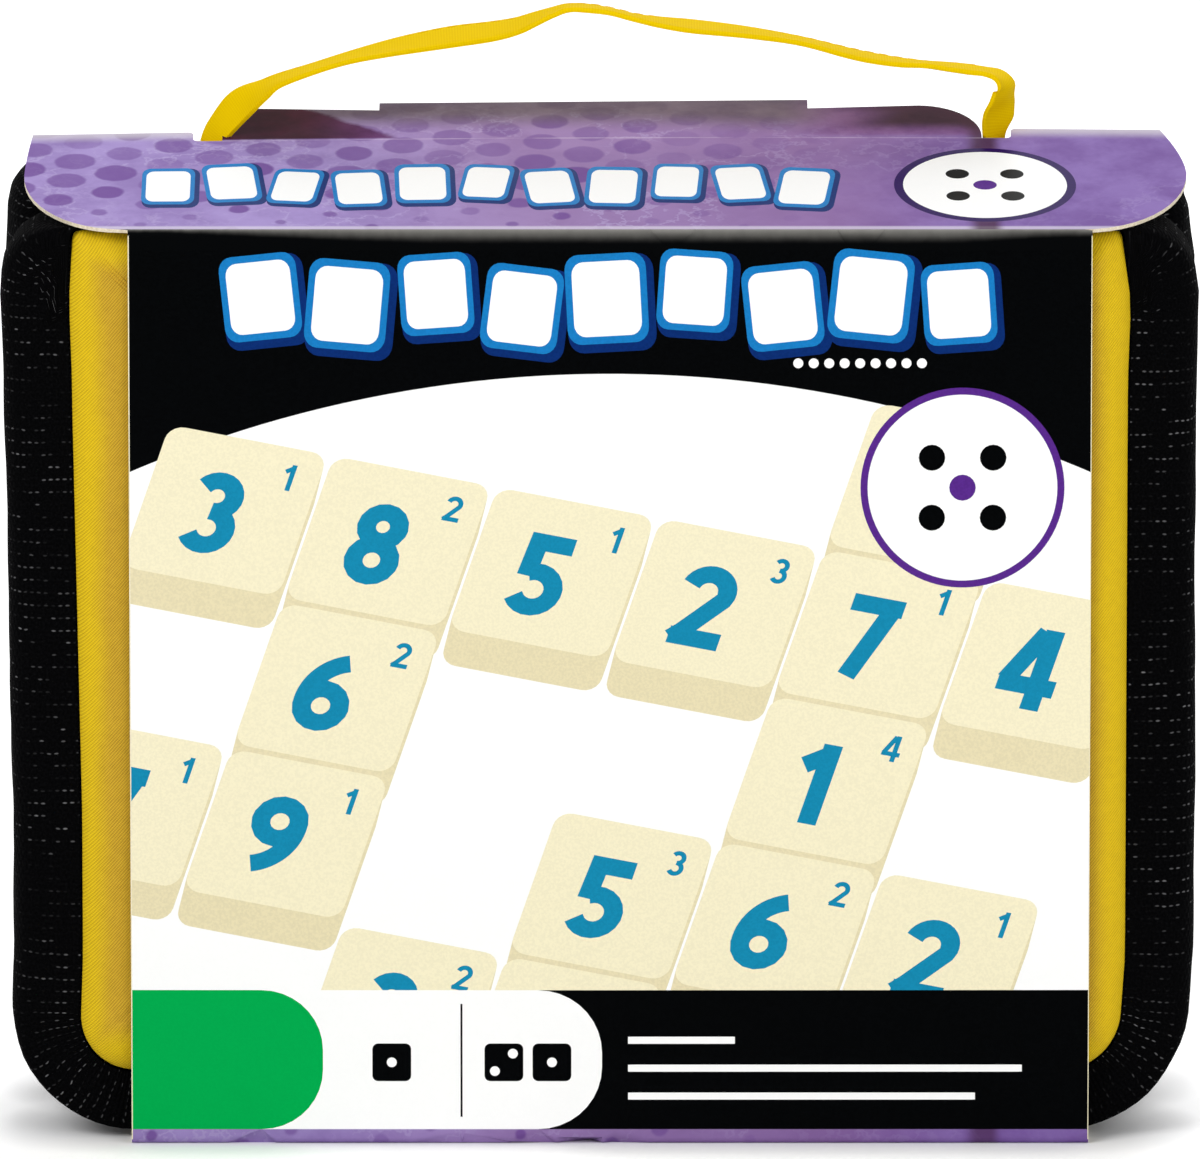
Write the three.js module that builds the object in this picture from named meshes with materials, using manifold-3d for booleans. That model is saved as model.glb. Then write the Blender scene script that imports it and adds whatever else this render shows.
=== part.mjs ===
// A zip-round travel case for a letter tile game, standing upright in its printed card sleeve.
// Millimetres, +Z up, front towards -Y, origin on the floor at the middle of the case.
// The case is two padded yellow panels on black woven gussets that meet at a zip. It opens like a
// book about a cloth spine on the left. Inside stand the drawstring pouch with eighty tiles and
// the instruction leaflet. The sleeve is two folded cards, front and back, pushed together round
// the case, with a tongue that runs under the yellow carrying strap.
import * as THREE from "three";
import { mergeVertices } from "three/addons/utils/BufferGeometryUtils.js";
import Module from "manifold-3d";

const wasm = await Module();
wasm.setup();

// Case, overall
const caseWidth = 178;
const caseTop = 143.3;
const cornerSteps = 5;
const topCornerRadius = 9;
const bottomCornerRadius = 19;
const fitGap = 0.3;

// Gussets: the bulging woven bands between a panel seam and the zip
const gussetWall = 1.6;
const seamInset = 10;
const seamDepth = 22.2;
const bulgeDepth = 13.3;
const valleyInset = 4;
const seamCornerRadius = 3;
const frontBulgeDrop = 4;
const frontSeamDrop = 0.3;
const rearSeamDrop = 1;
const insideSeamDrop = 1.6;
const zipDrop = 3.8;
const seamArcSteps = 4;
const zipArcSteps = 3;

// Zip
const zipLine = -1;
const zipWindow = 8;
const coilWidth = 1.3;
const coilHeight = 1.1;
const coilRise = 4.4;
const coilGap = 1.6;
const tapeWidth = 6.2;
const tapeThickness = 0.5;
const tapeStart = -70;
const stopLength = 2.4;
const spineThickness = 0.6;
const spineReach = 6.5;
const spineLip = 3.2;

// Padded panels
const clothThickness = 0.8;
const seamTuck = 0.6;
const panelShoulderRise = 1.4;
const panelCrownRise = 2.2;
const panelShoulderInset = 2.4;
const panelCrownInset = 8;
const foamInset = 3.6;
const liningThickness = 0.5;
const bindingWidth = 4;
const bindingThickness = 0.8;
const bindingOverlap = 0.6;

// Sleeve cards
const cardThickness = 0.6;
const cardClearance = 0.5;
const cardWidth = 144;
const cardShift = 1.2;
const foldRadius = 1.6;
const foldSteps = 3;
const roofClearance = 0.2;
const roofRise = 9.2;
const topPanelShift = 0.3;
const earHalfWidth = 87;
const earTaper = 1.2;
const earCornerDepth = 22;
const earSteps = 7;
const notchDepth = 3.5;
const notchWidth = 6.6;
const tongueInset = 4;
const tongueCorner = 8;
const backCardLift = 0.1;
const tabWidth = 64.5;
const tabShift = -1;
const lipLength = 4;
const glueFlap = 16;

// Carrying strap
const strapWidth = 8;
const strapThickness = 1.2;
const strapSpan = 117.4;
const strapShift = 0.7;
const strapRise = 20.2;
const strapEndClearance = 0.9;
const strapSections = 26;
const strapTabLength = 14;
const strapTabWidth = 6.4;
const strapTabThickness = 1;

// Zip sliders and their pulls
const sliderLength = 9;
const sliderWidth = 6.4;
const sliderTail = 5;
const sliderPlate = 1;
const sliderBackPlate = 0.8;
const sliderMeet = 72;
const sliderPost = 1;
const sliderPostLength = 2;
const bridgeWidth = 1.4;
const bridgeLength = 6.8;
const bridgeOpening = 1.7;
const bridgeBar = 0.8;
const pullThickness = 0.9;
const pullWidth = 5;
const pullLength = 16.9;
const pullBar = 1;
const pullEyeWidth = 2.6;
const pullEyeLength = 4.3;
const pullEndSteps = 6;

// Tiles, pouch and leaflet
const tileSize = 19;
const tileThickness = 5;
const tileChamfer = 0.6;
const tileCorner = 2;
const tileGap = 0.4;
const tileColumns = 5;
const tileRows = 4;
const tilesInStack = 4;
const pouchWall = 0.8;
const pouchSlack = 0.5;
const pouchDepthSlack = 1.2;
const pouchCorner = 5;
const pouchNeckWidth = 24;
const pouchNeckDepth = 8.6;
const pouchShoulderHeight = 9;
const pouchNeckHeight = 15;
const pouchNeckBand = 3.4;
const pouchFrillWidth = 42;
const pouchFrillDepth = 12;
const pouchFrillHeight = 11;
const drawstringRadius = 1.1;
const drawstringSides = 6;
const knotRadius = 2.3;
const leafletWidth = 112;
const leafletHeight = 118;
const leafletThickness = 0.8;
const leafletGap = 0.8;

// Worked out from the sizes above
const halfWidth = caseWidth / 2;
const zipEdgeFront = zipLine - zipWindow / 2;
const zipEdgeRear = zipLine + zipWindow / 2;
const flapFloor = cardThickness + fitGap;
const caseFloor = flapFloor + cardThickness + fitGap;
const frontBulgeTop = caseTop - frontBulgeDrop;
const frontSeamTop = frontBulgeTop - frontSeamDrop;
const rearSeamTop = caseTop - rearSeamDrop;
const zipTop = caseTop - zipDrop;
const panelEdgeDepth = seamDepth - seamTuck;
const panelShoulder = seamDepth + panelShoulderRise;
const panelPuff = seamDepth + panelCrownRise;
const foamBack = panelEdgeDepth - clothThickness;
const cardHalfDepth = panelPuff + cardClearance + cardThickness;
const cardFrontTop = frontBulgeTop + roofClearance;
const backCardTop = caseTop + backCardLift;
const roofSlope = roofRise / (2 * cardHalfDepth);
const strapDepth = bulgeDepth - fitGap;
const strapPivotHeight = caseTop + fitGap + strapTabThickness + strapEndClearance;
const earEnd = strapDepth - fitGap;
const notchFront = earEnd - notchDepth;
const notchInner = (strapSpan - notchWidth) / 2;
const notchOuter = (strapSpan + notchWidth) / 2;
const tongueEnd = cardHalfDepth - tongueInset;
const tabLeft = tabShift - tabWidth / 2;
const tabRight = tabShift + tabWidth / 2;

const cloth = { roughness: 0.8, metalness: 0 };
const yellow = new THREE.MeshStandardMaterial({ color: 0xf2c410, ...cloth });
const black = new THREE.MeshStandardMaterial({ color: 0x0b0b0d, ...cloth });
const lining = new THREE.MeshStandardMaterial({ color: 0x8c8a84, ...cloth });
const foam = new THREE.MeshStandardMaterial({ color: 0xe8e6df, ...cloth });
const nylonCoil = new THREE.MeshStandardMaterial({ color: 0x141416, roughness: 0.4, metalness: 0 });
const zipMetal = new THREE.MeshStandardMaterial({ color: 0x2a2a2e, roughness: 0.35, metalness: 0.9 });
const frontPrint = new THREE.MeshStandardMaterial({ color: 0x7c5fb0, roughness: 0.35, metalness: 0 });
const backPrint = new THREE.MeshStandardMaterial({ color: 0x74559f, roughness: 0.35, metalness: 0 });
const pouchCloth = new THREE.MeshStandardMaterial({ color: 0x5a3a86, ...cloth });
const stringCord = new THREE.MeshStandardMaterial({ color: 0xf0e9d8, ...cloth });
const tilePlastic = new THREE.MeshStandardMaterial({ color: 0xf3ecc8, roughness: 0.35, metalness: 0 });
const paper = new THREE.MeshStandardMaterial({ color: 0xf5f4ef, roughness: 0.7, metalness: 0 });

const caseGroup = new THREE.Group();

function addPiece(name, geometry, material) {
  const mesh = new THREE.Mesh(geometry, material);
  mesh.name = name;
  caseGroup.add(mesh);
  return mesh;
}

// Twice the signed volume's sign decides which way round the triangles are written.
function geometryOf(points, triangles) {
  let volume = 0;
  const a = new THREE.Vector3();
  const b = new THREE.Vector3();
  const c = new THREE.Vector3();
  for (const [i, j, k] of triangles) {
    a.fromArray(points[i]);
    b.fromArray(points[j]);
    c.fromArray(points[k]);
    volume += a.dot(b.cross(c));
  }
  const facing = volume < 0 ? triangles.map(([i, j, k]) => [i, k, j]) : triangles;
  const geometry = new THREE.BufferGeometry();
  geometry.setAttribute("position", new THREE.Float32BufferAttribute(points.flat(), 3));
  geometry.setIndex(facing.flat());
  return geometry;
}

// Skins a grid of points. Rows that don't close on themselves are capped at the first and the
// last row, and columns that don't close are capped along both sides.
function skin(rows, rowsClose, columnsClose) {
  const points = rows.flat();
  const rowCount = rows.length;
  const columnCount = rows[0].length;
  const at = (i, j) => (i % rowCount) * columnCount + (j % columnCount);
  const triangles = [];
  for (let i = 0; i < rowCount - (rowsClose ? 0 : 1); i++) {
    for (let j = 0; j < columnCount - (columnsClose ? 0 : 1); j++) {
      triangles.push([at(i, j), at(i + 1, j), at(i + 1, j + 1)]);
      triangles.push([at(i, j), at(i + 1, j + 1), at(i, j + 1)]);
    }
  }
  const fan = (loop, reverse) => {
    const middle = loop.map((k) => points[k]).reduce((sum, p) => sum.map((v, n) => v + p[n]), [0, 0, 0]);
    points.push(middle.map((v) => v / loop.length));
    const centre = points.length - 1;
    loop.forEach((k, n) => {
      const next = loop[(n + 1) % loop.length];
      triangles.push(reverse ? [centre, next, k] : [centre, k, next]);
    });
  };
  const columns = [...Array(columnCount).keys()];
  const rowIndexes = [...Array(rowCount).keys()];
  if (!rowsClose) {
    fan(columns.map((j) => at(0, j)), false);
    fan(columns.map((j) => at(rowCount - 1, j)), true);
  }
  if (!columnsClose) {
    fan(rowIndexes.map((i) => at(i, 0)), true);
    fan(rowIndexes.map((i) => at(i, columnCount - 1)), false);
  }
  return geometryOf(points, triangles);
}

// One quarter of a rounded corner, clockwise as the front of the case is seen.
function cornerPoints(x, z, radius, from, y) {
  const points = [];
  for (let k = 0; k <= cornerSteps; k++) {
    const angle = THREE.MathUtils.degToRad(from - (90 * k) / cornerSteps);
    points.push([x + radius * Math.cos(angle), y, z + radius * Math.sin(angle)]);
  }
  return points;
}

function corners({ half, top, bottom, topRadius, bottomRadius, y }) {
  return {
    topRight: cornerPoints(half - topRadius, top - topRadius, topRadius, 90, y),
    bottomRight: cornerPoints(half - bottomRadius, bottom + bottomRadius, bottomRadius, 0, y),
    bottomLeft: cornerPoints(bottomRadius - half, bottom + bottomRadius, bottomRadius, -90, y),
    topLeft: cornerPoints(topRadius - half, top - topRadius, topRadius, 180, y),
  };
}

function ring(outline) {
  const c = corners(outline);
  return [...c.topRight, ...c.bottomRight, ...c.bottomLeft, ...c.topLeft];
}

// The part of the outline that the zip follows: along the top, down the right, back underneath.
function zipPath(outline, start) {
  const c = corners(outline);
  const { y, top, bottom } = outline;
  return [[start, y, top], ...c.topRight, ...c.bottomRight, [start, y, bottom]];
}

// The part of the outline that the cloth spine closes, on the left.
function spinePath(outline, start) {
  const c = corners(outline);
  const { y, top, bottom } = outline;
  return [[start, y, bottom], ...c.bottomLeft, ...c.topLeft, [start, y, top]];
}

function bandOutline(inset, top, y, topRadius) {
  const bottomRadius = bottomCornerRadius - inset;
  return { half: halfWidth - inset, top, bottom: caseFloor + inset, topRadius, bottomRadius, y };
}

// A gusset: a quarter of an ellipse from the panel seam out to the bulge, and another from the
// bulge down into the valley where the zip lies. The inner face follows one wall further in.
function gussetRings(side, seamTop, bulgeTop, zipEdge) {
  const seam = side * seamDepth;
  const bulge = side * bulgeDepth;
  const faces = [0, gussetWall].map((wall) => {
    const face = [];
    for (let k = 0; k < seamArcSteps; k++) {
      const angle = ((Math.PI / 2) * k) / seamArcSteps;
      const inset = wall + (seamInset - wall) * (1 - Math.sin(angle));
      const y = bulge + (seam - side * wall - bulge) * Math.cos(angle);
      const top = seamTop + (bulgeTop - seamTop) * Math.sin(angle) - wall * Math.sin(angle);
      const radius = seamCornerRadius + (topCornerRadius - wall - seamCornerRadius) * Math.sin(angle);
      face.push(ring(bandOutline(inset, top, y, radius)));
    }
    for (let k = 0; k <= zipArcSteps; k++) {
      const angle = ((Math.PI / 2) * k) / zipArcSteps;
      const inset = wall + valleyInset * (1 - Math.cos(angle));
      const y = bulge + (zipEdge - bulge) * Math.sin(angle);
      const top = bulgeTop + (zipTop - bulgeTop) * (1 - Math.cos(angle)) - wall;
      face.push(ring(bandOutline(inset, top, y, topCornerRadius - inset / 2)));
    }
    return face;
  });
  return [...faces[0], ...faces[1].reverse()];
}

// Outlines inside the panel seam, by how far in from the seam they lie.
function panelOutline(seamTop, inward, y) {
  const total = seamInset + fitGap + inward;
  return {
    half: halfWidth - total,
    top: seamTop - fitGap - inward,
    bottom: caseFloor + total,
    topRadius: Math.max(seamCornerRadius - inward / 2, seamCornerRadius / 4),
    bottomRadius: Math.max(bottomCornerRadius - total, seamCornerRadius),
    y,
  };
}

// The yellow cloth of a panel: a shallow dish, crowned outwards.
function panelCloth(side, seamTop) {
  const at = (inward, depth) => ring(panelOutline(seamTop, inward, side * depth));
  return skin(
    [
      at(panelCrownInset, panelPuff),
      at(panelShoulderInset, panelShoulder),
      at(0, panelShoulder - clothThickness),
      at(0, panelEdgeDepth),
      at(clothThickness, panelEdgeDepth),
      at(panelShoulderInset + clothThickness, panelShoulder - clothThickness),
      at(panelCrownInset + clothThickness, panelPuff - clothThickness),
    ],
    false,
    true,
  );
}

function panelFoam(side, seamTop) {
  const at = (inward, depth) => ring(panelOutline(seamTop, inward, side * depth));
  const front = panelPuff - clothThickness - fitGap;
  return skin(
    [
      at(panelCrownInset + clothThickness, front),
      at(foamInset, front - clothThickness),
      at(foamInset, foamBack),
    ],
    false,
    true,
  );
}

function flatSheet(side, seamTop, inward, outerDepth, thickness) {
  const at = (depth) => ring(panelOutline(seamTop, inward, side * depth));
  return skin([at(outerDepth), at(outerDepth - thickness)], false, true);
}

// The tape sewn over the raw seam inside the case.
function seamBinding(side, seamTop, outerDepth) {
  const at = (inward, depth) => ring(panelOutline(seamTop, inward, side * depth));
  const inner = bindingWidth - bindingOverlap;
  return skin(
    [
      at(-bindingOverlap, outerDepth),
      at(inner, outerDepth),
      at(inner, outerDepth - bindingThickness),
      at(-bindingOverlap, outerDepth - bindingThickness),
    ],
    true,
    true,
  );
}

function zipOutline(inset, y) {
  const top = zipTop + valleyInset - inset;
  return bandOutline(inset, top, y, topCornerRadius - inset / 2);
}

// A strip of rectangular section swept along part of the zip outline.
function strip(path, start, insetOut, insetIn, yFrom, yTo) {
  const sections = [
    [insetOut, yFrom],
    [insetOut, yTo],
    [insetIn, yTo],
    [insetIn, yFrom],
  ];
  return skin(
    sections.map(([inset, y]) => path(zipOutline(inset, y), start)),
    true,
    false,
  );
}

const coilFoot = coilRise + coilHeight;
const tapeOuter = coilFoot + fitGap;
const tapeInner = tapeOuter + tapeThickness;

// Each half of the case: its gusset, padded panel, lining, binding and side of the zip
const liningDepth = foamBack - fitGap;
const bindingDepth = liningDepth - liningThickness - fitGap;

function addHalf(place, panel, side, seamTop, bulgeTop) {
  const zipEdge = side < 0 ? zipEdgeFront : zipEdgeRear;
  addPiece(`${place}_gusset`, skin(gussetRings(side, seamTop, bulgeTop, zipEdge), true, true), black);
  addPiece(`${panel}_panel`, panelCloth(side, seamTop), yellow);
  addPiece(`${panel}_foam`, panelFoam(side, seamTop), foam);
  const insideTop = seamTop - insideSeamDrop;
  const sheet = flatSheet(side, insideTop, fitGap, liningDepth, liningThickness);
  addPiece(`${panel}_lining`, sheet, lining);
  addPiece(`${place}_seam_binding`, seamBinding(side, insideTop, bindingDepth), black);
  const coilNear = zipLine + (side * coilGap) / 2;
  const coilFar = coilNear + side * coilWidth;
  const tapeFar = coilNear + side * tapeWidth;
  const coilStart = tapeStart + (side > 0 ? stopLength + fitGap : 0);
  const tape = strip(zipPath, tapeStart, tapeOuter, tapeInner, coilNear, tapeFar);
  const coil = strip(zipPath, coilStart, coilRise, coilFoot, coilNear, coilFar);
  addPiece(`${place}_zip_tape`, tape, black);
  addPiece(`${place}_zip_coil`, coil, nylonCoil);
}

addHalf("front", "front", -1, frontSeamTop, frontBulgeTop);
addHalf("rear", "back", 1, rearSeamTop, caseTop);

// The cloth spine, sewn inside the rear gusset and reaching to the fold line of the lid
const spineStart = tapeStart - coilWidth;
const spineInner = tapeOuter + spineThickness;
const spineFront = zipLine - spineLip;
const spineBack = zipLine + spineReach;
const spine = strip(spinePath, spineStart, tapeOuter, spineInner, spineFront, spineBack);
addPiece("spine_strip", spine, black);

function box(x0, x1, y0, y1, z0, z1) {
  const geometry = new THREE.BoxGeometry(x1 - x0, y1 - y0, z1 - z0);
  geometry.translate((x0 + x1) / 2, (y0 + y1) / 2, (z0 + z1) / 2);
  return geometry;
}

// Stops crimped on the rear tape at both ends of the zip
const stopNear = zipLine + coilGap / 2;
for (const [name, outer, inner] of [
  ["zip_top_stop", zipOutline(coilRise, 0).top, zipOutline(coilFoot, 0).top],
  ["zip_bottom_stop", zipOutline(coilFoot, 0).bottom, zipOutline(coilRise, 0).bottom],
]) {
  const stop = box(tapeStart, tapeStart + stopLength, stopNear, stopNear + coilWidth, inner, outer);
  addPiece(name, stop, zipMetal);
}

function solid(geometry) {
  const plain = geometry.index ? geometry.toNonIndexed() : geometry.clone();
  plain.deleteAttribute("normal");
  plain.deleteAttribute("uv");
  const merged = mergeVertices(plain);
  return new wasm.Manifold(
    new wasm.Mesh({
      numProp: 3,
      vertProperties: new Float32Array(merged.attributes.position.array),
      triVerts: new Uint32Array(merged.index.array),
    }),
  );
}

function fused(geometries) {
  const mesh = geometries.map(solid).reduce((whole, piece) => whole.add(piece)).getMesh();
  const geometry = new THREE.BufferGeometry();
  geometry.setAttribute("position", new THREE.BufferAttribute(mesh.vertProperties, 3));
  geometry.setIndex(new THREE.BufferAttribute(mesh.triVerts, 1));
  return geometry;
}

// An outline drawn in the YZ plane, given thickness along X from x0 to x1.
function slabAlongX(outline, x0, x1, hole) {
  const shape = new THREE.Shape(outline.map(([y, z]) => new THREE.Vector2(y, z)));
  if (hole) {
    shape.holes.push(new THREE.Path(hole.map(([y, z]) => new THREE.Vector2(y, z))));
  }
  const geometry = new THREE.ExtrudeGeometry(shape, { depth: x1 - x0, bevelEnabled: false, steps: 1 });
  geometry.applyMatrix4(new THREE.Matrix4().set(0, 0, 1, x0, 1, 0, 0, 0, 0, 1, 0, 0, 0, 0, 0, 1));
  return geometry;
}

// A slider rides on both coils. Its plates are joined by the post that parts the coils, and the
// bridge on the outer plate holds the pull. X is measured inwards from the widest part of the case.
const plateOuter = -(coilRise - fitGap - sliderPlate);
const plateInner = -(coilRise - fitGap);
const backPlateOuter = -(tapeInner + fitGap);
const backPlateInner = backPlateOuter - sliderBackPlate;
const bridgeTop = plateOuter + bridgeOpening + bridgeBar;

function sliderBody() {
  const nose = -sliderLength / 2;
  const waist = nose + sliderPostLength * 2;
  const tail = sliderLength / 2;
  const outline = [
    [-sliderWidth / 2, nose],
    [sliderWidth / 2, nose],
    [sliderWidth / 2, waist],
    [sliderTail / 2, tail],
    [-sliderTail / 2, tail],
    [-sliderWidth / 2, waist],
  ];
  const postFrom = nose + fitGap;
  const postEnd = postFrom + sliderPostLength;
  const bridgeEnd = bridgeLength / 2;
  const barFoot = bridgeTop - bridgeBar;
  const bridgeHalf = bridgeWidth / 2;
  return fused([
    slabAlongX(outline, plateInner, plateOuter),
    slabAlongX(outline, backPlateInner, backPlateOuter),
    box(backPlateInner, plateOuter, -sliderPost / 2, sliderPost / 2, postFrom, postEnd),
    box(plateInner, bridgeTop, -bridgeHalf, bridgeHalf, -bridgeEnd, bridgeBar - bridgeEnd),
    box(plateInner, bridgeTop, -bridgeHalf, bridgeHalf, bridgeEnd - bridgeBar, bridgeEnd),
    box(barFoot, bridgeTop, -bridgeHalf, bridgeHalf, -bridgeEnd, bridgeEnd),
  ]);
}

// A pull is one flat stamping: the bar under the bridge, the eye, and a rounded blade.
const pullMiddle = plateOuter + bridgeOpening / 2;

function pullBlade() {
  const half = pullWidth / 2;
  const top = pullBar / 2;
  const endCentre = top - pullLength + half;
  const outline = [
    [half, top],
    [-half, top],
  ];
  for (let k = 0; k <= pullEndSteps; k++) {
    const angle = Math.PI + (Math.PI * k) / pullEndSteps;
    outline.push([half * Math.cos(angle), endCentre + half * Math.sin(angle)]);
  }
  const eyeHalf = pullEyeWidth / 2;
  const eye = [
    [-eyeHalf, -top],
    [eyeHalf, -top],
    [eyeHalf, -top - pullEyeLength],
    [-eyeHalf, -top - pullEyeLength],
  ];
  return slabAlongX(outline, pullMiddle - pullThickness / 2, pullMiddle + pullThickness / 2, eye);
}

const sliderApart = (sliderLength + fitGap) / 2;
for (const [name, up] of [
  ["upper", true],
  ["lower", false],
]) {
  const height = sliderMeet + (up ? sliderApart : -sliderApart);
  const slider = addPiece(`${name}_slider`, sliderBody(), zipMetal);
  slider.position.set(halfWidth, zipLine, height);
  slider.rotation.x = up ? 0 : Math.PI;
  const pull = addPiece(`${name}_pull`, pullBlade(), zipMetal);
  pull.position.set(halfWidth, zipLine, height);
  pull.rotation.x = up ? Math.PI : 0;
}

// The front card is folded from one sheet: front, floor, and a roof that slopes up to the back.
// The roof has an ear past each side of the front and a tongue that passes under the strap. The
// middle of the tongue reaches the back card and folds down in front of it in a short lip.
function foldArc(radius) {
  const points = [];
  for (let k = 0; k <= foldSteps; k++) {
    const angle = Math.PI + ((Math.PI / 2) * k) / foldSteps;
    const y = foldRadius - cardHalfDepth + radius * Math.cos(angle);
    points.push([y, foldRadius + radius * Math.sin(angle)]);
  }
  return points;
}

function roofOutline() {
  const front = -cardHalfDepth;
  const ear = [];
  for (let k = 0; k <= earSteps; k++) {
    const angle = ((Math.PI / 2) * k) / earSteps;
    const x = cardWidth / 2 + (earHalfWidth - cardWidth / 2) * Math.sin(angle);
    ear.push([x, front + earCornerDepth * (1 - Math.cos(angle))]);
  }
  const tongue = [];
  for (let k = 0; k <= cornerSteps; k++) {
    const angle = ((Math.PI / 2) * k) / cornerSteps;
    const x = notchInner - tongueCorner * (1 - Math.cos(angle));
    tongue.push([x, tongueEnd - tongueCorner * (1 - Math.sin(angle))]);
  }
  const right = [
    ...ear,
    [earHalfWidth - earTaper, earEnd],
    [notchOuter, earEnd],
    [notchOuter, notchFront],
    [notchInner, notchFront],
    ...tongue,
  ];
  const left = right.map(([x, y]) => [-x, y]).reverse();
  return [...right, ...left];
}

// A sheet drawn in plan and laid on the slope of the roof, its top at the given height in front.
function slopedSheet(outline, frontTop) {
  const shape = new THREE.Shape(outline.map(([x, y]) => new THREE.Vector2(x, y)));
  const geometry = new THREE.ExtrudeGeometry(shape, { depth: cardThickness, bevelEnabled: false });
  geometry.translate(0, 0, frontTop - cardThickness + roofSlope * cardHalfDepth);
  const lean = new THREE.Matrix4().makeShear(0, 0, 0, roofSlope, 0, 0);
  geometry.applyMatrix4(lean);
  return geometry;
}

const backFace = cardHalfDepth - cardThickness;

function frontCard() {
  const front = -cardHalfDepth;
  const floorEnd = backFace - fitGap;
  const frontTop = cardFrontTop - cardThickness / 2;
  const profile = [
    [front, frontTop],
    ...foldArc(foldRadius),
    [floorEnd, 0],
    [floorEnd, cardThickness],
    ...foldArc(foldRadius - cardThickness).reverse(),
    [front + cardThickness, frontTop],
  ];
  const wrap = slabAlongX(profile, cardShift - cardWidth / 2, cardShift + cardWidth / 2);
  const roof = slopedSheet(roofOutline(), cardFrontTop);
  roof.translate(topPanelShift, 0, 0);
  const tab = [
    [tabLeft, tongueEnd - tongueCorner],
    [tabRight, tongueEnd - tongueCorner],
    [tabRight, floorEnd],
    [tabLeft, floorEnd],
  ];
  const lipFace = floorEnd - cardThickness;
  const lipHead = cardFrontTop - cardThickness / 2 + roofSlope * (lipFace + cardHalfDepth);
  const lip = box(tabLeft, tabRight, lipFace, floorEnd, lipHead - lipLength, lipHead);
  return fused([wrap, roof, slopedSheet(tab, cardFrontTop), lip]);
}

// The back card stands behind the case. A flap at its foot runs under the case, and a riser at its
// head stands behind the front card's lip.
function backCard() {
  const flap = [
    [cardHalfDepth, flapFloor],
    [cardHalfDepth, backCardTop],
    [backFace, backCardTop],
    [backFace, flapFloor + cardThickness],
    [cardHalfDepth - glueFlap, flapFloor + cardThickness],
    [cardHalfDepth - glueFlap, flapFloor],
  ];
  const riserFoot = backCardTop - cardThickness;
  const riserHead = cardFrontTop - fitGap + roofSlope * (backFace + cardHalfDepth);
  return fused([
    slabAlongX(flap, cardShift - cardWidth / 2, cardShift + cardWidth / 2),
    box(tabLeft, tabRight, backFace, cardHalfDepth, riserFoot, riserHead),
  ]);
}

addPiece("front_card", frontCard(), frontPrint);
addPiece("back_card", backCard(), backPrint);

// The strap is one yellow ribbon. Each station is a share of the span from the left end, a share
// of the rise, a share of a quarter turn of twist, and a share of the full width.
const strapStationShares = [
  [0, 0, 0.33, 0.3],
  [0.008, 0.115, 0.35, 0.5],
  [0.024, 0.238, 0.42, 0.7],
  [0.059, 0.36, 0.42, 0.9],
  [0.098, 0.465, 0.25, 1],
  [0.14, 0.56, 0.08, 1],
  [0.187, 0.64, 0.12, 1],
  [0.239, 0.723, 0.2, 1],
  [0.315, 0.83, 0.24, 1],
  [0.385, 0.93, 0.12, 1],
  [0.455, 1, 0.03, 1],
  [0.52, 0.97, 0.03, 1],
  [0.622, 0.865, 0.04, 1],
  [0.724, 0.77, 0.04, 1],
  [0.826, 0.68, 0.04, 1],
  [0.916, 0.6, 0.08, 1],
  [0.973, 0.52, 0.25, 1],
  [1.005, 0.4, 0.42, 0.95],
  [1.014, 0.27, 0.45, 0.8],
  [1.008, 0.13, 0.4, 0.55],
  [1, 0, 0.33, 0.3],
];

function strapRibbon() {
  const left = strapShift - strapSpan / 2;
  const place = ([along, up]) =>
    new THREE.Vector3(left + along * strapSpan, strapDepth, strapPivotHeight + up * strapRise);
  const line = new THREE.CatmullRomCurve3(strapStationShares.map(place), false, "centripetal");
  const last = strapStationShares.length - 1;
  const rows = [];
  for (let k = 0; k <= strapSections; k++) {
    const t = k / strapSections;
    const station = Math.min(Math.floor(t * last), last - 1);
    const mix = t * last - station;
    const [twist, share] = [2, 3].map(
      (n) => strapStationShares[station][n] * (1 - mix) + strapStationShares[station + 1][n] * mix,
    );
    const centre = line.getPoint(t);
    const tangent = line.getTangent(t);
    const across = new THREE.Vector3(-tangent.z, 0, tangent.x);
    const depth = new THREE.Vector3(0, 1, 0);
    const turn = (twist * Math.PI) / 2;
    const wide = depth.clone().multiplyScalar(Math.cos(turn)).addScaledVector(across, Math.sin(turn));
    const thick = across.clone().multiplyScalar(Math.cos(turn)).addScaledVector(depth, -Math.sin(turn));
    const halfWide = (strapWidth * share) / 2;
    const halfThick = (strapThickness / 2) * (2 - share);
    rows.push(
      [
        [1, 1],
        [1, -1],
        [-1, -1],
        [-1, 1],
      ].map(([w, h]) =>
        centre
          .clone()
          .addScaledVector(wide, w * halfWide)
          .addScaledVector(thick, h * halfThick)
          .toArray(),
      ),
    );
  }
  return skin(rows, false, true);
}

addPiece("carry_strap", strapRibbon(), yellow);
for (const [name, end] of [
  ["left_strap_tab", -1],
  ["right_strap_tab", 1],
]) {
  const x = strapShift + (end * strapSpan) / 2;
  const low = caseTop + fitGap;
  const top = low + strapTabThickness;
  const near = strapDepth - strapTabWidth / 2;
  const far = strapDepth + strapTabWidth / 2;
  addPiece(name, box(x - strapTabLength / 2, x + strapTabLength / 2, near, far, low, top), yellow);
}

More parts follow.
